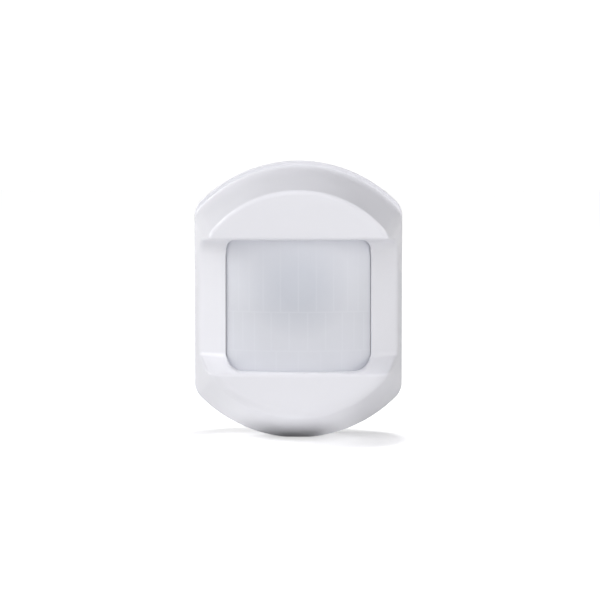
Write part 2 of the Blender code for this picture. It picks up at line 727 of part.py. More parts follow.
def make_jumper():
    """The two-pin header for the setting jumper, and the cap on its pins."""
    x, z = HEADER_AT
    header = on_board("jumper_header", HEADER_AT, 0.0026, 0.00135, 0.0025)
    cap = box(
        "jumper_cap",
        (x - 0.0026, PART_Y - 0.0088, z - 0.00135),
        (x + 0.0026, PART_Y - 0.0028, z + 0.00135),
    )
    half = 0.00032
    room = half + GAP
    for side_name, shift in {"left": -0.00127, "right": 0.00127}.items():
        pin_x = x + shift
        shaft_low = (pin_x - room, PART_Y - 0.004, z - room)
        shaft_high = (pin_x + room, PART_Y + 0.001, z + room)
        cut(header, box("header_shaft_" + side_name, shaft_low, shaft_high))
        socket_low = (pin_x - room, PART_Y - 0.0082, z - room)
        socket_high = (pin_x + room, PART_Y - 0.002, z + room)
        cut(cap, box("cap_socket_" + side_name, socket_low, socket_high))
        pin_low = (pin_x - half, PART_Y - 0.0076, z - half)
        pin = box("jumper_pin_" + side_name, pin_low, (pin_x + half, PART_Y, z + half))
        finish(pin, "gold")
    finish(header, "black_plastic")
    finish(cap, "black_plastic", 0.0002)


def make_battery():
    """The cell, the cradle that it lies in, and the contacts at its two ends."""
    left = CELL_RIGHT - CELL_LENGTH
    nub = 0.0011
    profile = [
        (0.0, CELL_LENGTH),
        (0.0031, CELL_LENGTH),
        (0.0033, CELL_LENGTH - 0.0002),
        (0.0033, CELL_LENGTH - nub),
        (CELL_RADIUS - 0.0006, CELL_LENGTH - nub),
        (CELL_RADIUS, CELL_LENGTH - nub - 0.0006),
        (CELL_RADIUS, 0.0006),
        (CELL_RADIUS - 0.0006, 0.0),
        (0.0, 0.0),
    ]
    along_x = Euler((0.0, math.pi / 2, 0.0))
    cell = turned("battery_cell", profile, along_x, (left, CELL_Y, CELL_Z), 32)
    finish(cell, "cell_sleeve")

    rest = CELL_RADIUS + 0.0003
    half_z = CELL_RADIUS + 0.0014
    inner = CRADLE_HALF - 0.0014
    trough_half = 0.0184
    cradle = box(
        "battery_cradle",
        (-trough_half, -0.0175, CELL_Z - half_z),
        (trough_half, PART_Y, CELL_Z + half_z),
    )
    end_low = (-CRADLE_HALF, -0.0220, CELL_Z - 0.0075)
    end_high = (CRADLE_HALF, PART_Y - 0.0002, CELL_Z + 0.0075)
    join(cradle, box("cradle_ends", end_low, end_high))
    axis = ((-inner, CELL_Y, CELL_Z), (inner, CELL_Y, CELL_Z))
    cut(cradle, rod("cell_space", *axis, rest, steps=32))
    mouth_low = (-inner, -0.0230, CELL_Z - rest + 0.0003)
    cut(cradle, box("cradle_mouth", mouth_low, (inner, CELL_Y + 0.0035, CELL_Z + rest - 0.0003)))
    for i, side in enumerate((-1, 1)):
        near, far = sorted((side * 0.0060, side * 0.0130))
        notch_low = (near, -0.0185, CELL_Z - half_z - 0.001)
        notch = box(f"cradle_notch_{i}", notch_low, (far, -0.0150, CELL_Z + half_z + 0.001))
        cut(cradle, notch)
    finish(cradle, "black_plastic")

    plate_x = CELL_RIGHT + GAP
    contact_low = (plate_x, -0.0235, CELL_Z - 0.0040)
    contact = box("battery_contact", contact_low, (plate_x + 0.0004, -0.0165, CELL_Z + 0.0040))
    finish(contact, "tin")

    start = left - GAP - 0.0004
    end = -inner + GAP + 0.0004
    turns, per_turn = 3, 12
    spiral = []
    for i in range(turns * per_turn + 1):
        share = i / (turns * per_turn)
        angle = 2 * math.pi * i / per_turn
        radius = 0.0020 + 0.0022 * share
        x = start + (end - start) * share
        spiral.append((x, CELL_Y + radius * math.cos(angle), CELL_Z + radius * math.sin(angle)))
    finish(wire("battery_spring", spiral, 0.0003), "steel")


def frame_at(name, place):
    """An empty on a joint's axis, which carries the pieces that move together."""
    empty = bpy.data.objects.new(name, None)
    empty.empty_display_size = 0.01
    empty.location = place
    PARTS.objects.link(empty)
    return empty


def carry(empty, names):
    """Parents pieces, with the tools that shape them, to an empty without moving them."""
    for name in names:
        piece = bpy.data.objects[name]
        family = [piece]
        for member in family:
            family += [m.object for m in member.modifiers if m.type == "BOOLEAN"]
        for member in family:
            member.parent = empty
            member.matrix_parent_inverse = Matrix.Translation(-empty.location)


for old in list(bpy.data.objects):
    bpy.data.objects.remove(old)
PARTS = new_collection("motion_sensor")
CUTTERS = new_collection("cutters")
make_bracket()
make_rear_cover()
make_release_button()
make_front_cover()
make_lens()
make_lens_retainer()
make_board()
make_sensor()
make_board_parts()
make_tamper_switch()
make_jumper()
make_battery()
for side in SCREWS_AT:
    make_board_screw(side)

COVER_PIECES = ["front_cover", "fresnel_lens", "lens_retainer"]
BUTTON_PIECES = ["release_button"]
PLUNGER_PIECES = ["tamper_plunger"]
NOT_IN_REAR = COVER_PIECES + BUTTON_PIECES + PLUNGER_PIECES + ["wall_bracket"]
rear_pieces = [o.name for o in PARTS.objects if o.type == "MESH" and o.name not in NOT_IN_REAR]
carry(frame_at("rear_case_frame", (0.0, 0.0, 0.0)), rear_pieces)
carry(frame_at("cover_hinge_frame", HINGE), COVER_PIECES)
button_face = ((BUTTON[0][1] + BUTTON[1][1]) / 2, BUTTON[0][2])
carry(frame_at("button_frame", (0.0, *button_face)), BUTTON_PIECES)
carry(frame_at("plunger_frame", (TAMPER_AT[0], PLUNGER_Y[1], TAMPER_AT[1])), PLUNGER_PIECES)
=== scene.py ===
"""Looks of the wall-mounted motion sensor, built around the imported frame.

The two case mouldings are shaped from distance functions: each CAD shell is remeshed finely, and
its points are drawn onto the rounded surface that the function describes. Lengths in those
functions are in millimetres, in the frame's axes: +X right, +Z up, the front faces -Y.
"""

import math

import bmesh
import bpy
import numpy as np
from mathutils import Matrix, Vector


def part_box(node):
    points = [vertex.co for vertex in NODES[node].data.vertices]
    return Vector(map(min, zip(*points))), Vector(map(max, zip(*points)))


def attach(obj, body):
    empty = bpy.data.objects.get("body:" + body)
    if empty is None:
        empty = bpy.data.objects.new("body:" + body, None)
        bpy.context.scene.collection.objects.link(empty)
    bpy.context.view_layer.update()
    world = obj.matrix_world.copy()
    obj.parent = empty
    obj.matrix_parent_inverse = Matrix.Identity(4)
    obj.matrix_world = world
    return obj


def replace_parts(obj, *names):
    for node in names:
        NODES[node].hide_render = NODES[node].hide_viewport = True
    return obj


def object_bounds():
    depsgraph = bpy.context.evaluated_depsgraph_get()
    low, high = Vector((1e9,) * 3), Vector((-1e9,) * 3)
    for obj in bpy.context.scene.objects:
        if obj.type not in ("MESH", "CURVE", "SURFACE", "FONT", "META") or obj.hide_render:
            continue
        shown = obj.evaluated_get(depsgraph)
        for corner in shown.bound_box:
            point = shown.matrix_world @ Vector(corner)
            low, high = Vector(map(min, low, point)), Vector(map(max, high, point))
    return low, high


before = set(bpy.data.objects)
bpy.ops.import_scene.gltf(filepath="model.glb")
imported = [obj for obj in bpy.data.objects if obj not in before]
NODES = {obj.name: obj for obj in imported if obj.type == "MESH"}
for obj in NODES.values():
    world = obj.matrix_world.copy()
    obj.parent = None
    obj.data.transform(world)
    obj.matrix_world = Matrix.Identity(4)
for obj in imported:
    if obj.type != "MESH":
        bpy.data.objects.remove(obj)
cad_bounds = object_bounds()
MM = 0.001

# ---------------------------------------------------------------- sizes shared with the frame, mm


def extent(node):
    """A CAD node's lowest and highest corner, in millimetres."""
    low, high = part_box(node)
    return low / MM, high / MM


def middle_of(node):
    """A node's middle in x and z, and its half sizes."""
    low, high = extent(node)
    middle, half = (low + high) / 2, (high - low) / 2
    return middle.x, middle.z, half.x, half.z


CASE_HALF, BACK_Y, CASE_R = extent("rear_cover")[1]
FRONT_Y = extent("front_cover")[0].y
LENS_LOW, LENS_HIGH = extent("fresnel_lens")
SEAM_Y = -14.0
HALF_GAP = 0.15
FLANGE_Y = -16.0

# The front cover. The crown and the bores are given as a radius and a half width
CROWN_FOOT = (39.90, 30.40)
CROWN_FACE = (32.20, 25.80)
COVER_BORE = (38.25, 28.10)
CROWN_DROP = -0.65
CROWN_WALL = 2.2
OPTIC_Y = -11.0
NOSE_R = 31.0
NOSE_WALL = 1.74
LENS_WALL = 0.55
LENS_ROOM, REBATE_ROOM = 0.05, 0.2
LENS_SHEET = 0.7
WINDOW_DEPTH_Y = -28.0
BROW_Z, BROW_SLOPE, BROW_WALL = 18.4, 0.052, 1.8
LEDGE_BACK_Z, LEDGE_FRONT_Z = -15.7, -19.85
WINDOW_HALF, WINDOW_LOW, WINDOW_HIGH = 20.6, -19.45, 18.06
WINDOW_RIM_HALF = WINDOW_HALF + 0.2
WINDOW_RIM_LOW, WINDOW_RIM_HIGH = WINDOW_LOW - 2.0, WINDOW_HIGH + 2.4
WINDOW_CORNERS = (4.6, 2.6)
POST_RADII = (1.6, 2.4)
POST_ENDS, POST_TAPER = (FRONT_Y + 1.0, -18.1), 27.0
CATCH_TAB = ((-3.5, -16.0, -39.0), (3.5, -14.6, -37.75))
SNAP_X, SNAP_Y = (20.2, 25.4), (-28.9, -26.9)
SNAP_HEIGHTS, SNAP_HALF = (-11.0, 11.0), 1.8

# The rear case. The lip and the bore are given as a radius and a half width
LIP = (37.95, 27.80)
LIP_Y = (-15.5, -6.0)
TRAY_BORE = (38.45, 28.30)
LIP_STEP_Y, LIP_STEP_RUN, LIP_STEP = -11.2, 1.4, 1.45
TRAY_FLOOR_Y = BACK_Y - 2.0
POCKET_LOW, POCKET_HIGH = (-15.6, -2.8, -24.6), (15.6, 3.0, 20.6)
POCKET_WALL, POCKET_FLOOR_Y = 2.0, -4.8
HOOK_SLOTS_X, HOOK_HEIGHTS = (-9.0, 9.0), (-12.0, 9.0)
SLOT_HALF, SLOT_HEIGHT, SLOT_ABOVE_HOOK = 4.3, 8.2, 1.8
SLOT_Y = (-6.0, -1.0)
BOSS_R, BOSS_BORE_R = 3.3, 1.65
BOSS_Y, BOSS_BORE_Y = (-7.9, -1.6), (-10.0, -3.6)
KNOCK_OUTS = ((-22.5, -19.0), (22.5, -19.0), (0.0, 31.0))
KNOCK_OUT_R, KNOCK_OUT_LINE, KNOCK_OUT_DEPTH = 2.6, 0.4, 0.35
BUTTON_BORE = ((-4.3, -9.9, -CASE_R - 3.0), (4.3, -5.9, -37.0))
CATCH_NOTCH = ((-4.5, -16.5, -38.35), (4.5, -10.9, -35.0))

# The hinge: a claw on the front cover in a slot in the rear case, both round the top edge
CLAW_RADII, CLAW_ANGLES, CLAW_HALF = (2.9, 3.9), (-140.0, -22.0), 3.5
CLAW_SLOT_RADII, CLAW_SLOT_ANGLES, CLAW_SLOT_HALF = (2.6, 4.2), (-150.0, -14.0), 3.8

# Roundings of the edges and corners, those that show most first
CORNER_ROUND = 1.5
BROW_ROUND, CHIN_ROUND = 1.3, 2.3
RECESS_ROUND = 0.75
COVE_ROUND = 3.8
LEDGE_ROUND = 1.1
FLANGE_FILLET = 0.5
RIM_ROUND = 0.45
WINDOW_ROUND = 0.4
BACK_ROUND = 1.5
POCKET_ROUND = 0.25
INNER_ROUND = 0.15
PLAIN_ROUND = 0.2


# ------------------------------------------------------------------------- distance functions


def cut_round(a, b, radius):
    """Where both solids are, with the outer edge between them rounded."""
    near = np.hypot(np.maximum(a + radius, 0), np.maximum(b + radius, 0))
    return np.minimum(-radius, np.maximum(a, b)) + near


def join_round(a, b, radius):
    """Where either solid is, with a fillet in the corner between them."""
    near = np.hypot(np.maximum(radius - a, 0), np.maximum(radius - b, 0))
    return np.maximum(radius, np.minimum(a, b)) - near


def box_field(p, low, high, radius=PLAIN_ROUND):
    """A box with rounded edges."""
    low, high = np.array(low), np.array(high)
    q = np.abs(p - (low + high) / 2) - (high - low) / 2 + radius
    return np.linalg.norm(np.maximum(q, 0), axis=1) + np.minimum(q.max(1), 0) - radius


def rod_field(p, x, z, low_y, high_y, radius):
    """A round bar along Y."""
    side = np.hypot(p[:, 0] - x, p[:, 2] - z) - radius
    ends = np.maximum(low_y - p[:, 1], p[:, 1] - high_y)
    return cut_round(side, ends, PLAIN_ROUND)


def outline_field(p, radius, half_width, corner=CORNER_ROUND):
    """The case's outline: a circle cut by two flats, its corners rounded."""
    round_side = np.hypot(p[:, 0], p[:, 2]) - radius
    return cut_round(round_side, np.abs(p[:, 0]) - half_width, corner)


def claw_field(p, radii, angles, half_width):
    """Part of a ring round the hinge line, between two angles seen from the right."""
    y, z = p[:, 1] - SEAM_Y, p[:, 2] - CASE_R
    reach = np.hypot(y, z)
    angle = np.degrees(np.arctan2(z, y))
    ring = np.maximum(radii[0] - reach, reach - radii[1])
    sweep = np.maximum(angles[0] - angle, angle - angles[1]) * np.radians(1.0) * reach
    return np.maximum(np.maximum(ring, sweep), np.abs(p[:, 0]) - half_width)


def crown_sides(p, inset=0.0):
    """The drafted crown's side wall: a cone and two leaning flats."""
    share = (p[:, 1] - FRONT_Y) / (FLANGE_Y - FRONT_Y)
    depth = FLANGE_Y - FRONT_Y
    sizes, leans = [], []
    for foot, face in zip(CROWN_FOOT, CROWN_FACE):
        sizes.append(face + (foot - face) * share - inset)
        leans.append(1.0 / math.hypot(1.0, (foot - face) / depth))
    cone = (np.hypot(p[:, 0], p[:, 2] - CROWN_DROP * share) - sizes[0]) * leans[0]
    flats = (np.abs(p[:, 0]) - sizes[1]) * leans[1]
    return cut_round(cone, flats, CORNER_ROUND)


def nose_field(p):
    """The upright cylinder behind the window, with its 45 degree flares."""
    across, ahead = np.abs(p[:, 0]), OPTIC_Y - p[:, 1]
    flare = (across + ahead) * math.sqrt(0.5) - NOSE_R
    return np.where(across <= ahead, np.hypot(across, ahead) - NOSE_R, flare)


def ledge_field(p):
    """Above the ledge: ruled from a level line at the nose to the chin's straight front edge."""
    across = np.abs(p[:, 0])
    tangent = NOSE_R * math.sqrt(0.5)
    on_nose = OPTIC_Y - np.sqrt(np.maximum(NOSE_R**2 - np.minimum(across, tangent) ** 2, 0))
    back = np.where(across <= tangent, on_nose, OPTIC_Y - 2 * tangent + across)
    slope = (LEDGE_BACK_Z - LEDGE_FRONT_Z) / np.maximum(back - FRONT_Y, 1.0)
    level = LEDGE_FRONT_Z + slope * np.maximum(p[:, 1] - FRONT_Y, -2.0)
    return (level - p[:, 2]) / np.hypot(1.0, slope)


def recess_field(p, nose_in=0.0, roof_up=0.0):
    """The open space between brow and chin, in front of the nose, or that space with its walls."""
    roof = (p[:, 2] - BROW_Z + BROW_SLOPE * (p[:, 1] - FRONT_Y)) - roof_up
    coved = cut_round(-(nose_field(p) + nose_in), roof, COVE_ROUND)
    return cut_round(coved, ledge_field(p) - roof_up, LEDGE_ROUND)


def window_field(p):
    """The window's outline in front view, as a prism along Y."""
    middle = (WINDOW_LOW + WINDOW_HIGH) / 2
    corner = np.where(p[:, 2] < middle, *WINDOW_CORNERS)
    x = np.abs(p[:, 0]) - WINDOW_HALF + corner
    z = np.abs(p[:, 2] - middle) - (WINDOW_HIGH - WINDOW_LOW) / 2 + corner
    outside = np.hypot(np.maximum(x, 0), np.maximum(z, 0))
    return outside + np.minimum(np.maximum(x, z), 0) - corner


def cover_hollow(p):
    """The open inside of the front cover, less the walls round the recess and the window."""
    across, y, z = np.abs(p[:, 0]), p[:, 1], p[:, 2]
    bore_y = FLANGE_Y - 0.2
    inner = cut_round(crown_sides(p, CROWN_WALL), FRONT_Y + CROWN_WALL - y, 0.5)
    inner = np.maximum(inner, y - bore_y)
    bore = np.maximum(outline_field(p, *COVER_BORE, corner=0.8), bore_y - y)
    walls = recess_field(p, NOSE_WALL, BROW_WALL)
    rim = np.maximum(-(nose_field(p) + NOSE_WALL), across - WINDOW_RIM_HALF)
    rim = np.maximum(rim, np.maximum(z - WINDOW_RIM_HIGH, WINDOW_RIM_LOW - z))
    return np.maximum(np.minimum(inner, bore), -np.minimum(walls, rim))


def lens_rebate(p):
    """Room for the lens's margin, which leaves only a thin wall in front of it."""
    across, z = np.abs(p[:, 0]), p[:, 2]
    rebate = np.maximum(nose_field(p) + LENS_WALL, across - LENS_HIGH.x - REBATE_ROOM)
    return np.maximum(rebate, np.maximum(z - LENS_HIGH.z, LENS_LOW.z - z) - REBATE_ROOM)


def plunger_post(p):
    """The tapered post inside the front cover that presses the tamper plunger."""
    y = p[:, 1]
    x, z, _, _ = middle_of("tamper_plunger")
    far, near = POST_ENDS
    share = np.clip((near - y) / POST_TAPER, 0, 1)
    radius = POST_RADII[0] + (POST_RADII[1] - POST_RADII[0]) * share
    side = np.hypot(p[:, 0] - x, p[:, 2] - z) - radius
    return cut_round(side, np.maximum(far - y, y - near), 0.25)


def front_cover_field(p):
    """The front cover: flange and crown, less the recess, the hollow and the window."""
    y = p[:, 1]
    face_round = np.where(p[:, 2] < 0, CHIN_ROUND, BROW_ROUND)
    crown = cut_round(crown_sides(p), FRONT_Y - y, face_round)
    crown = np.maximum(crown, y - (FLANGE_Y + 1.0))
    slab = np.maximum(FLANGE_Y - y, y - (SEAM_Y - HALF_GAP))
    flange = cut_round(outline_field(p, CASE_R, CASE_HALF), slab, RIM_ROUND)
    solid = join_round(crown, flange, FLANGE_FILLET)
    solid = cut_round(solid, -recess_field(p), RECESS_ROUND)
    solid = cut_round(solid, -cover_hollow(p), INNER_ROUND)
    solid = cut_round(solid, -lens_rebate(p), INNER_ROUND)
    opening = np.maximum(window_field(p), y - WINDOW_DEPTH_Y)
    solid = cut_round(solid, -opening, WINDOW_ROUND)

    solid = join_round(solid, plunger_post(p), 0.4)
    solid = join_round(solid, box_field(p, *CATCH_TAB), 0.15)
    mirrored = np.column_stack((np.abs(p[:, 0]), y, p[:, 2]))
    for middle in SNAP_HEIGHTS:
        low, high = zip(SNAP_X, SNAP_Y, (middle - SNAP_HALF, middle + SNAP_HALF))
        solid = join_round(solid, box_field(mirrored, low, high), 0.3)
    return np.minimum(solid, claw_field(p, CLAW_RADII, CLAW_ANGLES, CLAW_HALF))


def tray_field(p):
    """The rear case's shell, with the lip that the front cover slips over."""
    x, y, z = p.T
    outside = cut_round(outline_field(p, CASE_R, CASE_HALF), y - BACK_Y, BACK_ROUND)
    outside = cut_round(outside, SEAM_Y + HALF_GAP - y, RIM_ROUND)
    lip = np.maximum(outline_field(p, *LIP, corner=0.6), np.maximum(LIP_Y[0] - y, y - LIP_Y[1]))
    step = LIP_STEP * np.clip((LIP_STEP_Y - y) / LIP_STEP_RUN, 0, 1)
    radius, half_width = TRAY_BORE
    bore = np.maximum(np.hypot(x, z) - radius + step, np.abs(x) - half_width + step)
    return cut_round(np.minimum(outside, lip), -np.maximum(bore, y - TRAY_FLOOR_Y), INNER_ROUND)


def cut_bracket_pocket(p, solid):
    """Adds the bracket's pocket to the tray's back, with a slot for each of the four hooks."""
    (low_x, _, low_z), (high_x, _, high_z) = POCKET_LOW, POCKET_HIGH
    outer_low = (low_x - POCKET_WALL, POCKET_FLOOR_Y, low_z - POCKET_WALL)
    outer_high = (high_x + POCKET_WALL, -1.6, high_z + POCKET_WALL)
    solid = join_round(solid, box_field(p, outer_low, outer_high, 0.4), 0.3)
    solid = cut_round(solid, -box_field(p, POCKET_LOW, POCKET_HIGH), POCKET_ROUND)
    for slot_x in HOOK_SLOTS_X:
        for hook_z in HOOK_HEIGHTS:
            top = hook_z + SLOT_ABOVE_HOOK
            low = (slot_x - SLOT_HALF, SLOT_Y[0], top - SLOT_HEIGHT)
            high = (slot_x + SLOT_HALF, SLOT_Y[1], top)
            solid = cut_round(solid, -box_field(p, low, high, 0.3), INNER_ROUND)
    return solid


def rear_cover_field(p):
    """The rear case: tray, bracket pocket, board bosses, knock-outs and openings."""
    x, y, z = p.T
    solid = cut_bracket_pocket(p, tray_field(p))
    for name in ("pcb_screw_left", "pcb_screw_right"):
        at_x, at_z, _, _ = middle_of(name)
        solid = join_round(solid, rod_field(p, at_x, at_z, *BOSS_Y, BOSS_R), 0.5)
        solid = np.maximum(solid, -rod_field(p, at_x, at_z, *BOSS_BORE_Y, BOSS_BORE_R))
    for at_x, at_z in KNOCK_OUTS:
        thin = rod_field(p, at_x, at_z, TRAY_FLOOR_Y - 2.0, TRAY_FLOOR_Y + 0.9, KNOCK_OUT_R)
        solid = np.maximum(solid, -thin)
        ring = np.abs(np.hypot(x - at_x, z - at_z) - KNOCK_OUT_R) - KNOCK_OUT_LINE
        groove = np.maximum(ring, BACK_Y - KNOCK_OUT_DEPTH - y)
        solid = cut_round(solid, -groove, INNER_ROUND)
    slot = claw_field(p, CLAW_SLOT_RADII, CLAW_SLOT_ANGLES, CLAW_SLOT_HALF)
    solid = np.maximum(solid, -slot)
    solid = cut_round(solid, -box_field(p, *BUTTON_BORE), PLAIN_ROUND)
    return np.maximum(solid, -box_field(p, *CATCH_NOTCH, 0.1))


# Central differences use a short step for shape, and a longer one for smoother shading
SHAPE_STEP, SHADING_STEP = 0.02, 0.12
LARGEST_MOVE, LEAST_SLOPE = 0.6, 0.2


def gradient(field, p, step=SHAPE_STEP):
    """The field's slope at each point, by central differences."""
    slope = np.empty_like(p)
    for axis in range(3):
        shift = np.zeros(3)
        shift[axis] = step
        slope[:, axis] = (field(p + shift) - field(p - shift)) / (2 * step)
    return slope


def unit_normals(field, p, step=SHAPE_STEP):
    """The field's direction at each point."""
    normals = gradient(field, p, step)
    return normals / np.maximum(np.linalg.norm(normals, axis=1), 1e-9)[:, None]


def draw_onto(field, p, rounds):
    """Moves points to the field's zero level along its slope."""
    for _ in range(rounds):
        slope = gradient(field, p)
        reach = field(p) / np.maximum((slope**2).sum(1), LEAST_SLOPE)
        p = p - np.clip(reach, -LARGEST_MOVE, LARGEST_MOVE)[:, None] * slope
    return p


def relax(p, edges, normals, share):
    """Evens out the points' spacing along the surface."""
    total = np.zeros_like(p)
    count = np.zeros(len(p))
    for a, b in ((0, 1), (1, 0)):
        np.add.at(total, edges[:, a], p[edges[:, b]])
        np.add.at(count, edges[:, a], 1)
    move = total / count[:, None] - p
    move -= (move * normals).sum(1)[:, None] * normals
    return p + share * move


def moulding(name, node, field, voxel):
    """A fine mesh of a CAD shell, drawn onto the surface of its distance function."""
    source = NODES[node].data.copy()
    bm = bmesh.new()
    bm.from_mesh(source)
    bmesh.ops.remove_doubles(bm, verts=bm.verts, dist=1e-6)
    bm.to_mesh(source)
    bm.free()
    obj = bpy.data.objects.new(name, source)
    bpy.context.scene.collection.objects.link(obj)
    remesh = obj.modifiers.new("voxels", "REMESH")
    remesh.mode = "VOXEL"
    remesh.voxel_size = voxel * MM
    remesh.adaptivity = 0.0
    graph = bpy.context.evaluated_depsgraph_get()
    mesh = bpy.data.meshes.new_from_object(obj.evaluated_get(graph))
    bpy.data.objects.remove(obj)
    mesh.materials.clear()

    p = np.empty(len(mesh.vertices) * 3)
    mesh.vertices.foreach_get("co", p)
    p = p.reshape(-1, 3) / MM
    edges = np.empty(len(mesh.edges) * 2, np.int32)
    mesh.edges.foreach_get("vertices", edges)
    edges = edges.reshape(-1, 2)
    p = draw_onto(field, p, 5)
    for _ in range(4):
        p = draw_onto(field, relax(p, edges, unit_normals(field, p), 0.5), 1)
    p = draw_onto(field, p, 3)
    p = np.clip(p, *extent(node))
    normals = unit_normals(field, p, SHADING_STEP)
    mesh.vertices.foreach_set("co", (p * MM).ravel())
    mesh.update()
    mesh.shade_smooth()
    mesh.normals_split_custom_set_from_vertices(normals.tolist())
    return mesh


# ------------------------------------------------------------------------------- materials


def new_material(name):
    """A node material and its Principled shader."""
    material = bpy.data.materials.new(name)
    material.use_nodes = True
    tree = material.node_tree
    return material, tree, tree.nodes["Principled BSDF"]


def place_of(tree):
    """Object coordinates, which don't slide when the camera moves."""
    return tree.nodes.new("ShaderNodeTexCoord").outputs["Object"]


def noise(tree, scale, detail=4.0, rough=0.55):
    """Soft random patches, from 0 to 1."""
    node = tree.nodes.new("ShaderNodeTexNoise")
    node.inputs["Scale"].default_value = scale
    node.inputs["Detail"].default_value = detail
    node.inputs["Roughness"].default_value = rough
    tree.links.new(place_of(tree), node.inputs["Vector"])
    return node.outputs["Fac"]


def cells(tree, scale):
    """Voronoi distances: round cells for foam and for dots."""
    node = tree.nodes.new("ShaderNodeTexVoronoi")
    node.inputs["Scale"].default_value = scale
    tree.links.new(place_of(tree), node.inputs["Vector"])
    return node.outputs["Distance"]


def ramp(tree, value, *stops, steps=False):
    """Maps a value to colours through stops of position and colour, or of position and level."""
    node = tree.nodes.new("ShaderNodeValToRGB")
    if steps:
        node.color_ramp.interpolation = "CONSTANT"
    elements = node.color_ramp.elements
    while len(elements) < len(stops):
        elements.new(0.5)
    for element, (position, colour) in zip(elements, stops):
        element.position = position
        rgb = colour if isinstance(colour, tuple) else (colour,) * 3
        element.color = (*rgb, 1.0)
    tree.links.new(value, node.inputs["Fac"])
    return node.outputs["Color"]


def along(tree, axis, low, high):
    """How far a point lies between two places on an axis, from 0 to 1. Places in millimetres."""
    split = tree.nodes.new("ShaderNodeSeparateXYZ")
    share = tree.nodes.new("ShaderNodeMapRange")
    share.inputs["From Min"].default_value = low * MM
    share.inputs["From Max"].default_value = high * MM
    tree.links.new(place_of(tree), split.inputs[0])
    tree.links.new(split.outputs[axis], share.inputs["Value"])
    return share.outputs["Result"]


def mix(tree, factor, first, second, kind="MIX"):
    """Mixes two colours, each a socket or a fixed colour."""
    node = tree.nodes.new("ShaderNodeMix")
    node.data_type = "RGBA"
    node.blend_type = kind
    sockets = (node.inputs[0], node.inputs[6], node.inputs[7])
    for socket, value in zip(sockets, (factor, first, second)):
        if isinstance(value, bpy.types.NodeSocket):
            tree.links.new(value, socket)
        elif isinstance(value, tuple):
            socket.default_value = (*value, 1.0)
        else:
            socket.default_value = value
    return node.outputs[2]


def bump(tree, shader, height, strength, depth):
    """Adds a height to the shader's surface. The depth is in millimetres."""
    node = tree.nodes.new("ShaderNodeBump")
    node.inputs["Strength"].default_value = strength
    node.inputs["Distance"].default_value = depth * MM
    tree.links.new(height, node.inputs["Height"])
    tree.links.new(node.outputs["Normal"], shader.inputs["Normal"])


def uneven_gloss(tree, shader, scale, smooth, rough):
    """Lets the roughness wander between two levels."""
    shine = ramp(tree, noise(tree, scale), (0.35, smooth), (0.65, rough))
    tree.links.new(shine, shader.inputs["Roughness"])


def length_share(tree, vector, reach):
    """A vector's length as a share of a reach, in metres."""
    length = tree.nodes.new("ShaderNodeVectorMath")
    length.operation = "LENGTH"
    share = tree.nodes.new("ShaderNodeMath")
    share.operation = "MULTIPLY"
    share.inputs[1].default_value = 1 / reach
    tree.links.new(vector, length.inputs[0])
    tree.links.new(length.outputs["Value"], share.inputs[0])
    return share.outputs[0]


def shades(colour, share):
    """A darker and a lighter shade of a colour."""
    return tuple(c * (1 - share) for c in colour), tuple(min(c * (1 + share), 1.0) for c in colour)


def surface(name, colour, roughness, metallic=0.0, vary=0.03, patch=60.0, grain=2500.0, depth=0.02):
    """A plain stuff with soft patches in its colour and sheen, and a fine grain."""
    material, tree, shader = new_material(name)
    dark, light = shades(colour, vary)
    tone = ramp(tree, noise(tree, patch, 5.0), (0.35, dark), (0.65, light))
    tree.links.new(tone, shader.inputs["Base Color"])
    sheen = noise(tree, patch * 2.5, 6.0)
    spread = 0.12 * roughness
    shine = ramp(tree, sheen, (0.35, roughness - spread), (0.65, roughness + spread))
    tree.links.new(shine, shader.inputs["Roughness"])
    bump(tree, shader, noise(tree, grain, 3.0, 0.6), 0.22, depth)
    shader.inputs["Metallic"].default_value = metallic
    shader.inputs["IOR"].default_value = 1.5
    return material


CASE_WHITE = (0.82, 0.82, 0.854)
LENS_WHITE = (0.868, 0.882, 0.932)
# A painted highlight along the lens's segment edges: its colour and its largest share
SEAM_HIGHLIGHT_WHITE, SEAM_HIGHLIGHT_SHARE = (0.93, 0.945, 0.99), 0.18

# Shades painted in the lens: one stands for the foam ring behind its middle, out to a reach in mm,
# and one for the light that falls off over its height
GASKET_REACH = 16.0
GASKET_SHADE = ((0.30, (0.87, 0.885, 0.905)), (0.95, 1.0))
HEIGHT_SHADE = ((0.0, 0.94), (0.45, 0.86), (0.95, 1.0))


def lens_material():
    """Milky moulded sheet: it spreads the light that passes. Its colour holds a painted highlight
    along its segments' edges, and painted shade in its middle and over its height.
    """
    material, tree, shader = new_material("lens_film")
    seam = tree.nodes.new("ShaderNodeAttribute")
    seam.attribute_name = "seam"
    dark, light = shades(LENS_WHITE, 0.006)
    sheet = ramp(tree, noise(tree, 55.0, 3.0), (0.4, dark), (0.6, light))
    x, z, _, _ = middle_of("sensor_gasket")
    from_sensor = tree.nodes.new("ShaderNodeVectorMath")
    from_sensor.operation = "MULTIPLY_ADD"
    from_sensor.inputs[1].default_value = (1.0, 0.0, 1.0)
    from_sensor.inputs[2].default_value = (-x * MM, 0.0, -z * MM)
    tree.links.new(place_of(tree), from_sensor.inputs[0])
    share = length_share(tree, from_sensor.outputs["Vector"], GASKET_REACH * MM)
    sheet = mix(tree, 1.0, sheet, ramp(tree, share, *GASKET_SHADE), "MULTIPLY")
    height = along(tree, "Z", WINDOW_LOW, WINDOW_HIGH)
    sheet = mix(tree, 1.0, sheet, ramp(tree, height, *HEIGHT_SHADE), "MULTIPLY")
    # The segment edges are lightened in colour: a painted highlight
    seam_highlight = ramp(tree, seam.outputs["Fac"], (0.0, 0.0), (1.0, SEAM_HIGHLIGHT_SHARE))
    tree.links.new(mix(tree, seam_highlight, sheet, SEAM_HIGHLIGHT_WHITE), shader.inputs["Base Color"])
    uneven_gloss(tree, shader, 140.0, 0.40, 0.46)
    shader.inputs["Transmission Weight"].default_value = 0.12
    shader.inputs["IOR"].default_value = 1.5
    return material


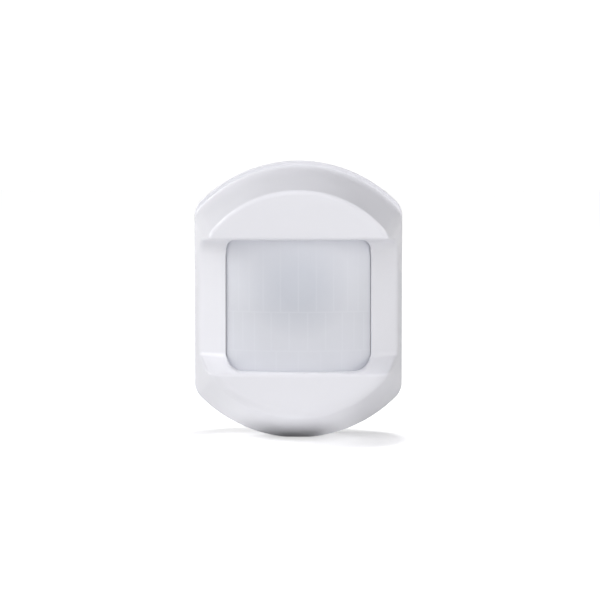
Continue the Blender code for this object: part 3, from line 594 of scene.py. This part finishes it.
def board_material():
    """Green solder mask over tracks, with plated dots where they change sides."""
    material, tree, shader = new_material("board_laminate")
    split = tree.nodes.new("ShaderNodeSeparateXYZ")
    flat = tree.nodes.new("ShaderNodeCombineXYZ")
    tree.links.new(place_of(tree), split.inputs[0])
    tree.links.new(split.outputs["X"], flat.inputs["X"])
    tree.links.new(split.outputs["Z"], flat.inputs["Y"])
    tracks = tree.nodes.new("ShaderNodeTexBrick")
    tracks.offset = 0.37
    tracks.squash = 0.6
    tracks.squash_frequency = 3
    tracks.inputs["Color1"].default_value = (0.012, 0.115, 0.045, 1.0)
    tracks.inputs["Color2"].default_value = (0.016, 0.135, 0.052, 1.0)
    tracks.inputs["Mortar"].default_value = (0.035, 0.24, 0.095, 1.0)
    tracks.inputs["Scale"].default_value = 210.0
    tracks.inputs["Mortar Size"].default_value = 0.035
    tracks.inputs["Mortar Smooth"].default_value = 0.1
    tree.links.new(flat.outputs[0], tracks.inputs["Vector"])
    dots = ramp(tree, cells(tree, 330.0), (0.10, 1.0), (0.13, 0.0))
    tone = mix(tree, dots, tracks.outputs["Color"], (0.55, 0.38, 0.12))
    tree.links.new(tone, shader.inputs["Base Color"])
    uneven_gloss(tree, shader, 120.0, 0.26, 0.40)
    bump(tree, shader, tracks.outputs["Fac"], 0.35, 0.04)
    return material


def foam_material():
    """Open-cell foam: dark, matt and pitted, with painted shade darkening each pit towards its
    bottom.
    """
    material, tree, shader = new_material("foam")
    pits = cells(tree, 1900.0)
    # Darker near each cell's middle, where the bump makes the pit deepest: painted shade
    tone = ramp(tree, pits, (0.1, (0.012, 0.012, 0.014)), (0.6, (0.045, 0.045, 0.05)))
    tree.links.new(tone, shader.inputs["Base Color"])
    shader.inputs["Roughness"].default_value = 0.95
    bump(tree, shader, pits, 0.8, 0.25)
    return material


def capacitor_material(node):
    """A printed sleeve with a light stripe on one side, and bare metal on the top."""
    low, high = extent(node)
    material, tree, shader = new_material("capacitor_sleeve_" + node)
    stripe = ramp(tree, along(tree, "X", low.x, high.x), (0.0, 1.0), (0.17, 0.0), steps=True)
    top = ramp(tree, along(tree, "Y", low.y, high.y), (0.0, 1.0), (0.09, 0.0), steps=True)
    speck = noise(tree, 300.0)
    sleeve = ramp(tree, speck, (0.35, (0.012, 0.02, 0.055)), (0.65, (0.016, 0.026, 0.07)))
    tone = mix(tree, stripe, sleeve, (0.42, 0.44, 0.48))
    metal = ramp(tree, speck, (0.35, (0.66, 0.67, 0.69)), (0.65, (0.74, 0.75, 0.77)))
    tree.links.new(mix(tree, top, tone, metal), shader.inputs["Base Color"])
    tree.links.new(top, shader.inputs["Metallic"])
    uneven_gloss(tree, shader, 200.0, 0.30, 0.40)
    bump(tree, shader, noise(tree, 1500.0), 0.15, 0.02)
    return material


def cell_material():
    """The lithium cell's wrap: two bands of colour, bare metal at the ends, and no lettering."""
    low, high = extent("battery_cell")
    material, tree, shader = new_material("cell_case")
    share = along(tree, "X", low.x, high.x)
    steel, wrap = (0.62, 0.62, 0.63), (0.05, 0.13, 0.30)
    band, dark = (0.55, 0.57, 0.60), (0.02, 0.02, 0.025)
    stops = ((0.0, steel), (0.022, wrap), (0.70, band), (0.735, dark), (0.93, band), (0.945, steel))
    paint = ramp(tree, share, *stops, steps=True)
    mottle = ramp(tree, noise(tree, 220.0), (0.35, 0.93), (0.65, 1.0))
    tree.links.new(mix(tree, 1.0, paint, mottle, "MULTIPLY"), shader.inputs["Base Color"])
    bare = ramp(tree, share, (0.0, 1.0), (0.022, 0.35), (0.945, 1.0), steps=True)
    tree.links.new(bare, shader.inputs["Metallic"])
    uneven_gloss(tree, shader, 160.0, 0.28, 0.38)
    bump(tree, shader, noise(tree, 900.0), 0.1, 0.02)
    return material


def led_material():
    """Tinted, slightly milky epoxy."""
    material, tree, shader = new_material("led_epoxy")
    tone = ramp(tree, noise(tree, 400.0), (0.35, (0.80, 0.07, 0.06)), (0.65, (0.88, 0.10, 0.08)))
    tree.links.new(tone, shader.inputs["Base Color"])
    shader.inputs["Roughness"].default_value = 0.12
    shader.inputs["Transmission Weight"].default_value = 0.6
    shader.inputs["IOR"].default_value = 1.5
    return material


MATERIALS = {
    "case_plastic": surface("case_plastic", CASE_WHITE, 0.42, vary=0.006, patch=38.0),
    "natural_plastic": surface("natural_plastic", (0.70, 0.70, 0.66), 0.5, vary=0.02),
    "screw_steel": surface("screw_steel", (0.62, 0.62, 0.63), 0.28, 1.0, patch=400.0),
    "can_metal": surface("can_metal", (0.70, 0.69, 0.66), 0.22, 1.0, patch=250.0),
    "tin_plate": surface("tin_plate", (0.66, 0.66, 0.65), 0.34, 1.0, patch=200.0, depth=0.03),
    "filter_pane": surface("filter_pane", (0.045, 0.030, 0.045), 0.10, vary=0.35, patch=220.0),
    "black_plastic": surface("black_plastic", (0.022, 0.022, 0.024), 0.48, vary=0.15),
    "copper_wire": surface("copper_wire", (0.62, 0.27, 0.12), 0.26, 1.0, vary=0.08, patch=300.0),
    "gold_plate": surface("gold_plate", (0.80, 0.57, 0.22), 0.24, 1.0, patch=300.0),
    "lens_film": lens_material(),
    "board_laminate": board_material(),
    "foam": foam_material(),
    "cell_case": cell_material(),
    "led_epoxy": led_material(),
}
INK = surface("legend_ink", (0.78, 0.78, 0.76), 0.6, vary=0.04)
CERAMIC = surface("part_ceramic", (0.32, 0.23, 0.15), 0.5, vary=0.12, patch=500.0)

NODE_MATERIALS = {
    "wall_bracket": "case_plastic",
    "release_button": "case_plastic",
    "lens_retainer": "natural_plastic",
    "circuit_board": "board_laminate",
    "pcb_screw_left": "screw_steel",
    "pcb_screw_right": "screw_steel",
    "pir_can": "can_metal",
    "pir_window": "filter_pane",
    "pir_spacer": "black_plastic",
    "sensor_gasket": "foam",
    "microcontroller": "black_plastic",
    "rf_shield": "tin_plate",
    "crystal": "can_metal",
    "status_led": "led_epoxy",
    "antenna_coil": "copper_wire",
    "tamper_switch": "black_plastic",
    "tamper_plunger": "natural_plastic",
    "jumper_header": "black_plastic",
    "jumper_pin_left": "gold_plate",
    "jumper_pin_right": "gold_plate",
    "jumper_cap": "black_plastic",
    "battery_cell": "cell_case",
    "battery_cradle": "black_plastic",
    "battery_contact": "tin_plate",
    "battery_spring": "screw_steel",
}

SMOOTH_ANGLE = math.radians(32.0)

# CAD nodes whose plain edges get a small bevel, with its width in mm
BEVELS = {
    "wall_bracket": 0.25,
    "release_button": 0.2,
    "circuit_board": 0.08,
    "microcontroller": 0.12,
    "rf_shield": 0.25,
    "crystal": 0.25,
    "tamper_switch": 0.15,
    "jumper_header": 0.12,
    "jumper_cap": 0.15,
    "battery_contact": 0.1,
    "tamper_plunger": 0.2,
}


def dress_nodes():
    """Gives every CAD node that's still shown its material, rounded shading and small bevels."""
    for name, node in NODES.items():
        node.data.materials.clear()
        if name.startswith("capacitor"):
            node.data.materials.append(capacitor_material(name))
        else:
            stuff = NODE_MATERIALS.get(name, "case_plastic")
            node.data.materials.append(MATERIALS[stuff])
        node.data.shade_smooth()
        node.data.set_sharp_from_angle(angle=SMOOTH_ANGLE)
        if name in BEVELS:
            edge = node.modifiers.new("edges", "BEVEL")
            edge.width = BEVELS[name] * MM
            edge.segments = 2
            edge.limit_method = "ANGLE"
            edge.angle_limit = math.radians(40.0)


# ------------------------------------------------------------------------------ the mouldings


def add_piece(name, mesh, stuff, body, bevel=0.0):
    """A new piece of the sensor, which rides on a CAD body."""
    obj = bpy.data.objects.new(name, mesh)
    bpy.context.scene.collection.objects.link(obj)
    is_material = isinstance(stuff, bpy.types.Material)
    mesh.materials.append(stuff if is_material else MATERIALS[stuff])
    if bevel:
        edge = obj.modifiers.new("edges", "BEVEL")
        edge.width = bevel * MM
        edge.segments = 2
        edge.limit_method = "ANGLE"
    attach(obj, body)
    return obj


VOXELS = (0.8, 0.36)
LENS_PITCHES = (0.6, 0.2)


def make_mouldings():
    """The front cover and the rear case."""
    voxel_size = VOXELS[1]
    for node, field, body in (
        ("front_cover", front_cover_field, "front_case"),
        ("rear_cover", rear_cover_field, "rear_case"),
    ):
        mesh = moulding(node + "_moulding", node, field, voxel_size)
        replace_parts(add_piece(node + "_moulding", mesh, "case_plastic", body), node)


# Each row of the lens's segments, from the top: the height of its lower edge, and the angles in
# degrees of the edges between its segments, to the right of the middle. The last row runs to the
# lens's own lower edge
LENS_ROWS = (
    (-2.5, (0.0, 9.7, 19.3, 27.6, 34.2, 40.6)),
    (-13.6, (5.0, 14.8, 24.4, 31.6, 38.0)),
    (-99.0, (0.0, 12.0, 24.0, 36.0)),
)
LENS_RING_PITCH = 0.8
LENS_RING_DEPTH = 0.10
LENS_SEAM_DEPTH = 0.18
LENS_SEAM_HALF = 0.3


def make_lens():
    """The lens: smooth outside, and rows of segments inside, each with rings round its middle."""
    low, high = extent("fresnel_lens")
    outer_radius = NOSE_R - LENS_WALL - LENS_ROOM
    inner_radius = OPTIC_Y - low.y - LENS_SHEET
    half_angle = math.asin(high.x / outer_radius)
    pitch = LENS_PITCHES[1]
    columns = int(2 * half_angle * outer_radius / pitch)
    rows = int((high.z - low.z) / pitch)
    angle, height = np.meshgrid(
        np.linspace(-half_angle, half_angle, columns + 1), np.linspace(low.z, high.z, rows + 1)
    )
    nearest = np.full(angle.shape, 9.0)
    middle_angle, middle_height = np.zeros(angle.shape), np.zeros(angle.shape)
    top = high.z
    for bottom, right_edges in LENS_ROWS:
        bottom = max(bottom, low.z)
        inside = (height <= top) & (height >= bottom)
        edges = sorted({sign * math.radians(e) for e in right_edges for sign in (-1, 1)})
        edges = np.array([-half_angle, *edges, half_angle])
        cell = np.clip(np.searchsorted(edges, angle) - 1, 0, len(edges) - 2)
        to_side = np.minimum(angle - edges[cell], edges[cell + 1] - angle) * inner_radius
        to_level = np.minimum(top - height, height - bottom)
        middle_angle = np.where(inside, (edges[cell] + edges[cell + 1]) / 2, middle_angle)
        middle_height = np.where(inside, (top + bottom) / 2, middle_height)
        nearest = np.where(inside, np.minimum(to_side, to_level), nearest)
        top = bottom
    ring = np.hypot((angle - middle_angle) * inner_radius, height - middle_height)
    groove = LENS_RING_DEPTH * (0.5 - 0.5 * np.cos(ring * 2 * math.pi / LENS_RING_PITCH))
    seam = np.clip(1 - np.abs(nearest) / LENS_SEAM_HALF, 0, 1)
    relief = np.maximum(groove, LENS_SEAM_DEPTH * seam)

    points, shade = [], []
    for radius in (np.full(angle.shape, outer_radius), inner_radius + relief):
        x, y = radius * np.sin(angle), OPTIC_Y - radius * np.cos(angle)
        points.append(np.stack((x, y, height), axis=-1).reshape(-1, 3))
        shade.append(seam.ravel())
    count = angle.size
    index = np.arange(count).reshape(angle.shape)
    quad = np.stack((index[:-1, :-1], index[:-1, 1:], index[1:, 1:], index[1:, :-1]), axis=-1)
    faces = [quad.reshape(-1, 4), quad.reshape(-1, 4)[:, ::-1] + count]
    for line in (index[0, ::-1], index[-1], index[:, 0], index[::-1, -1]):
        faces.append(np.stack((line[:-1], line[1:], line[1:] + count, line[:-1] + count), axis=-1))
    mesh = bpy.data.meshes.new("lens_sheet")
    mesh.from_pydata((np.concatenate(points) * MM).tolist(), [], np.concatenate(faces).tolist())
    mesh.attributes.new("seam", "FLOAT", "POINT").data.foreach_set("value", np.concatenate(shade))
    mesh.update()
    mesh.shade_smooth()
    mesh.set_sharp_from_angle(angle=math.radians(50.0))
    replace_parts(add_piece("lens_sheet", mesh, "lens_film", "front_case"), "fresnel_lens")


# ------------------------------------------------------------------- small parts on the board


PEG_SIDES = 24


def block(bm, low, high):
    """Adds a box between two corners, in millimetres."""
    low, high = Vector(low) * MM, Vector(high) * MM
    place = Matrix.Translation((low + high) / 2) @ Matrix.Diagonal((*(high - low), 1.0))
    bmesh.ops.create_cube(bm, size=1.0, matrix=place)


def peg(bm, x, z, near_y, far_y, radius, far_radius=None):
    """Adds a round bar along Y, in millimetres."""
    bmesh.ops.create_cone(
        bm,
        cap_ends=True,
        segments=PEG_SIDES,
        radius1=(radius if far_radius is None else far_radius) * MM,
        radius2=radius * MM,
        depth=abs(far_y - near_y) * MM,
        matrix=Matrix.Translation(Vector((x, (near_y + far_y) / 2, z)) * MM)
        @ Matrix.Rotation(-math.pi / 2, 4, "X"),
    )


def mesh_of(name, bm):
    """A mesh with its flat faces kept crisp."""
    bmesh.ops.recalc_face_normals(bm, faces=bm.faces)
    mesh = bpy.data.meshes.new(name)
    bm.to_mesh(mesh)
    bm.free()
    mesh.shade_smooth()
    mesh.set_sharp_from_angle(angle=SMOOTH_ANGLE)
    return mesh


def flat_turns(x, z, along_low, along_high, side_low, side_high):
    """A rectangle that points away from a middle, turned to each of its four sides."""
    for sign in (-1, 1):
        a, b = sorted((sign * along_low, sign * along_high))
        yield (x + a, z + side_low), (x + b, z + side_high)
        yield (x + side_low, z + a), (x + side_high, z + b)


LEADS_PER_SIDE, LEAD_PITCH, LEAD_HALF = 8, 0.8, 0.16

# Where the chip passives sit, in x and z, and whether each stands upright
PASSIVES = (
    (-14.5, 12.6, False), (-14.5, 14.4, False), (-14.5, 16.2, False), (-23.9, 9.2, True),
    (-23.9, 6.0, True), (-23.9, 2.8, True), (-17.2, 21.6, True), (-19.2, 21.6, True),
    (13.8, -1.6, False), (13.8, -3.4, False), (13.6, 14.6, False), (13.6, 16.4, False),
    (23.6, 6.4, True), (23.6, 9.8, True), (23.6, 13.2, True), (21.0, 18.8, False),
)

# Parts with a printed outline, and its distance from them
LEGENDS = (
    ("microcontroller", 1.6), ("rf_shield", 0.9), ("crystal", 0.6), ("tamper_switch", 1.3),
    ("jumper_header", 0.6), ("capacitor_large", 0.6), ("capacitor_small", 0.6),
)
LEGEND_LINE, LEGEND_DEPTH = 0.18, 0.02


def add_chip_leads(metal, pads, dark, face):
    """The microcontroller's bent leads on their pads, and the dot by its first lead."""
    x, z, half, _ = middle_of("microcontroller")
    for i in range(LEADS_PER_SIDE):
        shift = (i - (LEADS_PER_SIDE - 1) / 2) * LEAD_PITCH
        sides = (shift - LEAD_HALF, shift + LEAD_HALF)
        for (start, end), near_y, far_y, into in (
            ((half - 0.1, half + 0.45), face - 0.95, face - 0.80, metal),
            ((half + 0.30, half + 0.45), face - 0.80, face - 0.05, metal),
            ((half + 0.30, half + 1.0), face - 0.18, face - 0.03, metal),
            ((half + 0.2, half + 1.2), face - 0.03, face, pads),
        ):
            for (x_low, z_low), (x_high, z_high) in flat_turns(x, z, start, end, *sides):
                block(into, (x_low, near_y, z_low), (x_high, far_y, z_high))
    top = extent("microcontroller")[0].y - 0.01
    peg(dark, x - half + 0.9, z + half - 0.9, top, face - 1.0, 0.35)


def add_passives(metal, pads, ceramic, face):
    """Small chips: a ceramic body, a metal cap at each end, and a pad under each cap."""
    for x, z, upright in PASSIVES:
        for start, end, height, half_width, into in (
            (-0.5, 0.5, 0.42, 0.4, ceramic),
            (-0.8, -0.5, 0.46, 0.4, metal),
            (0.5, 0.8, 0.46, 0.4, metal),
            (-1.0, -0.4, 0.03, 0.5, pads),
            (0.4, 1.0, 0.03, 0.5, pads),
        ):
            low, high = (start, -half_width), (end, half_width)
            if upright:
                low, high = low[::-1], high[::-1]
            block(into, (x + low[0], face - height, z + low[1]), (x + high[0], face, z + high[1]))


def add_solder(metal, face):
    """Solder cones under the coil's ends, and the tamper switch's four tabs."""
    x, z, half_x, half_z = middle_of("antenna_coil")
    for side in (-1, 1):
        peg(metal, x + side * (half_x - 0.4), z - half_z + 0.4, face, face - 0.85, 1.0, 0.5)
    x, z, half_x, half_z = middle_of("tamper_switch")
    for side_x in (-1, 1):
        for side_z in (-1, 1):
            a, b = sorted((side_x * (half_x - 0.1), side_x * (half_x + 0.9)))
            middle = z + side_z * 0.6 * half_z
            block(metal, (x + a, face - 0.4, middle - 0.35), (x + b, face, middle + 0.35))


def add_shield_details(metal, dark, face):
    """The radio shield's rows of holes, drawn as dark discs of painted shade, and its side tabs."""
    x, z, half_x, _ = middle_of("rf_shield")
    top = extent("rf_shield")[0].y
    for i in range(4):
        # Each hole is a dark disc: painted shade where the hole shows its dim inside
        for j in range(3):
            peg(dark, x + (i - 1.5) * 2.4, z + (j - 1) * 2.6, top - 0.012, top + 0.3, 0.45)
    for side in (-1, 1):
        for shift in (-2.6, 0.0, 2.6):
            a, b = sorted((side * half_x, side * (half_x + 0.5)))
            block(metal, (x + a, face - 0.35, z + shift - 0.6), (x + b, face, z + shift + 0.6))


def add_capacitor_vents(dark):
    """The cross scored in each capacitor's top, drawn as dark bars: painted shade in the grooves.
    """
    for node in ("capacitor_large", "capacitor_small"):
        x, z, half, _ = middle_of(node)
        top = extent(node)[0].y + 0.3
        reach = 0.55 * half
        # The grooves are dark bars: painted shade
        block(dark, (x - reach, top - 0.02, z - 0.12), (x + reach, top + 0.1, z + 0.12))
        block(dark, (x - 0.12, top - 0.02, z - reach), (x + 0.12, top + 0.1, z + reach))


def add_screw_pads(pads, face):
    """A bare ring under each board screw's head."""
    for node in ("pcb_screw_left", "pcb_screw_right"):
        x, z, half, _ = middle_of(node)
        peg(pads, x, z, face - 0.03, face, half + 0.6)


def add_can_tab(metal):
    """The locating tab on the sensor can's rim."""
    x, z, half, _ = middle_of("pir_can")
    tab = Matrix.Translation(Vector((x, extent("pir_can")[1].y - 0.3, z)) * MM)
    tab = tab @ Matrix.Rotation(math.radians(40.0), 4, "Y")
    tab = tab @ Matrix.Translation(Vector((half + 0.2, 0.0, 0.0)) * MM)
    tab = tab @ Matrix.Diagonal((1.2 * MM, 0.5 * MM, 0.8 * MM, 1.0))
    bmesh.ops.create_cube(metal, size=1.0, matrix=tab)


def add_legends(ink, face):
    """The printed outlines."""
    for node, room in LEGENDS:
        x, z, half_x, half_z = middle_of(node)
        reach_x, reach_z = half_x + room, half_z + room
        near_y = face - LEGEND_DEPTH
        for side in (-1, 1):
            a, b = sorted((side * reach_x, side * (reach_x - LEGEND_LINE)))
            block(ink, (x + a, near_y, z - reach_z), (x + b, face, z + reach_z))
            a, b = sorted((side * reach_z, side * (reach_z - LEGEND_LINE)))
            block(ink, (x - reach_x, near_y, z + a), (x + reach_x, face, z + b))


def make_board_details():
    """Leads, solder, chip passives and printed outlines on the circuit board."""
    face = extent("circuit_board")[0].y
    metal, pads, ink, ceramic, dark = (bmesh.new() for _ in range(5))
    add_chip_leads(metal, pads, dark, face)
    add_passives(metal, pads, ceramic, face)
    add_solder(metal, face)
    add_shield_details(metal, dark, face)
    add_capacitor_vents(dark)
    add_screw_pads(pads, face)
    add_can_tab(metal)
    add_legends(ink, face)

    add_piece("leads_and_solder", mesh_of("leads", metal), "tin_plate", "rear_case", 0.04)
    add_piece("board_pads", mesh_of("pads", pads), "gold_plate", "rear_case")
    add_piece("board_legend", mesh_of("legend", ink), INK, "rear_case")
    add_piece("chip_passives", mesh_of("passives", ceramic), CERAMIC, "rear_case", 0.04)
    # The chip's first-lead dot, and painted shade in the shield's holes and the capacitors' vent
    # grooves
    add_piece("dark_marks_and_painted_shade", mesh_of("marks", dark), "black_plastic", "rear_case")


def make_button_grip():
    """Three ribs on the release button's face."""
    low, high = extent("release_button")
    grip = bmesh.new()
    middle = (low.x + high.x) / 2
    for y in (-9.0, -7.9, -6.8):
        block(grip, (middle - 3.0, y - 0.2, low.z - 0.22), (middle + 3.0, y + 0.2, low.z + 0.2))
    add_piece("button_grip", mesh_of("grip", grip), "case_plastic", "catch", 0.1)


dress_nodes()
make_mouldings()
make_lens()
make_board_details()
make_button_grip()


# -------------------------------------------------------------------- floor, lights and camera


FLOOR_HALF, FLOOR_MIDDLE_X = 6.0, -0.005

# The floor's own light, by distance from its middle as a share of the reach in metres: what it
# gives the sensor, and what the camera sees, whose dip round the sensor is a painted shadow
GLOW_REACH = 0.15
FLOOR_LIGHT = ((0.07, 0.0), (0.13, 0.28), (0.20, 0.03), (0.32, 0.0))
FLOOR_GLOW_WITH_PAINTED_SHADOW = ((0.05, 0.50), (0.18, 0.24), (0.23, 0.26), (0.29, 1.0))

# The white room lights nothing: only the camera sees it
ROOM_LIGHT, ROOM_SEEN = 0.0, 1.1

SOFTBOX_SIZE, SOFTBOX_DISTANCE = 0.9, 1.2
SOFTBOX_AIM = Vector((0.0, -0.03, 0.0))

# Each softbox's name, azimuth (0 in front, 90 to the right), elevation, watts and colour
SOFTBOXES = (
    ("front_high", 0.0, 42.0, 5.0, (0.97, 0.97, 1.0)),
    ("front_low", 0.0, 6.0, 3.8, (1.0, 1.0, 1.0)),
    ("left_high", -95.0, 32.0, 10.7, (1.0, 1.0, 1.0)),
    ("right_high", 95.0, 32.0, 3.3, (1.0, 1.0, 1.0)),
    ("right_low", 55.0, 2.0, 4.2, (1.0, 0.99, 0.975)),
    ("above", 0.0, 80.0, 2.6, (0.95, 0.94, 1.0)),
    ("behind", 180.0, -10.0, 7.0, (1.0, 1.0, 1.0)),
)


def stage_floor():
    """A pale floor under the sensor, wide enough to fill the view, with a painted shadow round it.
    """
    bm = bmesh.new()
    bmesh.ops.create_grid(bm, x_segments=1, y_segments=1, size=FLOOR_HALF)
    mesh = bpy.data.meshes.new("floor")
    bm.to_mesh(mesh)
    bm.free()
    floor = bpy.data.objects.new("floor", mesh)
    floor.location = (FLOOR_MIDDLE_X, cad_bounds[0][1] / 2, cad_bounds[0][2])
    bpy.context.scene.collection.objects.link(floor)
    material, tree, shader = new_material("floor_white")
    shader.inputs["Base Color"].default_value = (0.92, 0.92, 0.92, 1.0)
    shader.inputs["Roughness"].default_value = 0.8
    shader.inputs["Specular IOR Level"].default_value = 0.1
    glow = tree.nodes.new("ShaderNodeEmission")
    path = tree.nodes.new("ShaderNodeLightPath")
    choice = tree.nodes.new("ShaderNodeMix")
    share = length_share(tree, place_of(tree), GLOW_REACH)
    # The camera sees the floor dimmer round the sensor's foot: a painted shadow on top of the cast
    # one
    for socket, stops in (("A", FLOOR_LIGHT), ("B", FLOOR_GLOW_WITH_PAINTED_SHADOW)):
        tree.links.new(ramp(tree, share, *stops), choice.inputs[socket])
    tree.links.new(path.outputs["Is Camera Ray"], choice.inputs["Factor"])
    tree.links.new(choice.outputs["Result"], glow.inputs["Strength"])
    total = tree.nodes.new("ShaderNodeAddShader")
    tree.links.new(shader.outputs["BSDF"], total.inputs[0])
    tree.links.new(glow.outputs["Emission"], total.inputs[1])
    # From below, the floor is clear
    under = tree.nodes.new("ShaderNodeNewGeometry")
    side = tree.nodes.new("ShaderNodeMixShader")
    clear = tree.nodes.new("ShaderNodeBsdfTransparent")
    tree.links.new(under.outputs["Backfacing"], side.inputs["Fac"])
    tree.links.new(total.outputs["Shader"], side.inputs[1])
    tree.links.new(clear.outputs["BSDF"], side.inputs[2])
    tree.links.new(side.outputs["Shader"], tree.nodes["Material Output"].inputs["Surface"])
    mesh.materials.append(material)


def softbox(name, azimuth, elevation, watts, colour):
    """A square area light that faces the sensor."""
    turn, rise = math.radians(azimuth), math.radians(elevation)
    level = math.cos(rise)
    away = Vector((math.sin(turn) * level, -math.cos(turn) * level, math.sin(rise)))
    light = bpy.data.lights.new(name, "AREA")
    light.shape = "SQUARE"
    light.size = SOFTBOX_SIZE
    light.energy = watts
    light.color = colour
    obj = bpy.data.objects.new(name, light)
    obj.location = SOFTBOX_AIM + SOFTBOX_DISTANCE * away
    obj.rotation_euler = (-away).to_track_quat("-Z", "Y").to_euler()
    bpy.context.scene.collection.objects.link(obj)


def make_world():
    """A white room, which the camera sees past the floor."""
    world = bpy.data.worlds.new("white_room")
    bpy.context.scene.world = world
    world.use_nodes = True
    tree = world.node_tree
    room = tree.nodes["Background"]
    room.inputs["Color"].default_value = (1.0, 1.0, 1.0, 1.0)
    room.inputs["Strength"].default_value = ROOM_LIGHT
    seen = tree.nodes.new("ShaderNodeBackground")
    seen.inputs["Color"].default_value = (1.0, 1.0, 1.0, 1.0)
    seen.inputs["Strength"].default_value = ROOM_SEEN
    path = tree.nodes.new("ShaderNodeLightPath")
    choice = tree.nodes.new("ShaderNodeMixShader")
    tree.links.new(path.outputs["Is Camera Ray"], choice.inputs["Fac"])
    tree.links.new(room.outputs["Background"], choice.inputs[1])
    tree.links.new(seen.outputs["Background"], choice.inputs[2])
    tree.links.new(choice.outputs["Shader"], tree.nodes["World Output"].inputs["Surface"])


CAMERA_DISTANCE, CAMERA_RISE = 0.80, math.radians(3.0)
CAMERA_SHIFT = (0.0027, -0.0022)
SENSOR_WIDTH, VIEW_WIDTH = 36.0, 0.1768


def make_camera():
    """The camera: square on to the front, a little above it."""
    seam = Vector((0.0, SEAM_Y * MM, 0.0))
    camera_data = bpy.data.cameras.new("camera")
    camera_data.sensor_width = SENSOR_WIDTH
    camera_data.lens = SENSOR_WIDTH * CAMERA_DISTANCE / VIEW_WIDTH
    camera_data.shift_x, camera_data.shift_y = CAMERA_SHIFT
    away = Vector((0.0, -math.cos(CAMERA_RISE), math.sin(CAMERA_RISE)))
    camera = bpy.data.objects.new("camera", camera_data)
    camera.location = seam + CAMERA_DISTANCE * away
    camera.rotation_euler = (math.pi / 2 - CAMERA_RISE, 0.0, 0.0)
    bpy.context.scene.collection.objects.link(camera)
    bpy.context.scene.camera = camera


stage_floor()
make_world()
for light in SOFTBOXES:
    softbox(*light)
make_camera()
bpy.context.scene.view_settings.view_transform = "Standard"
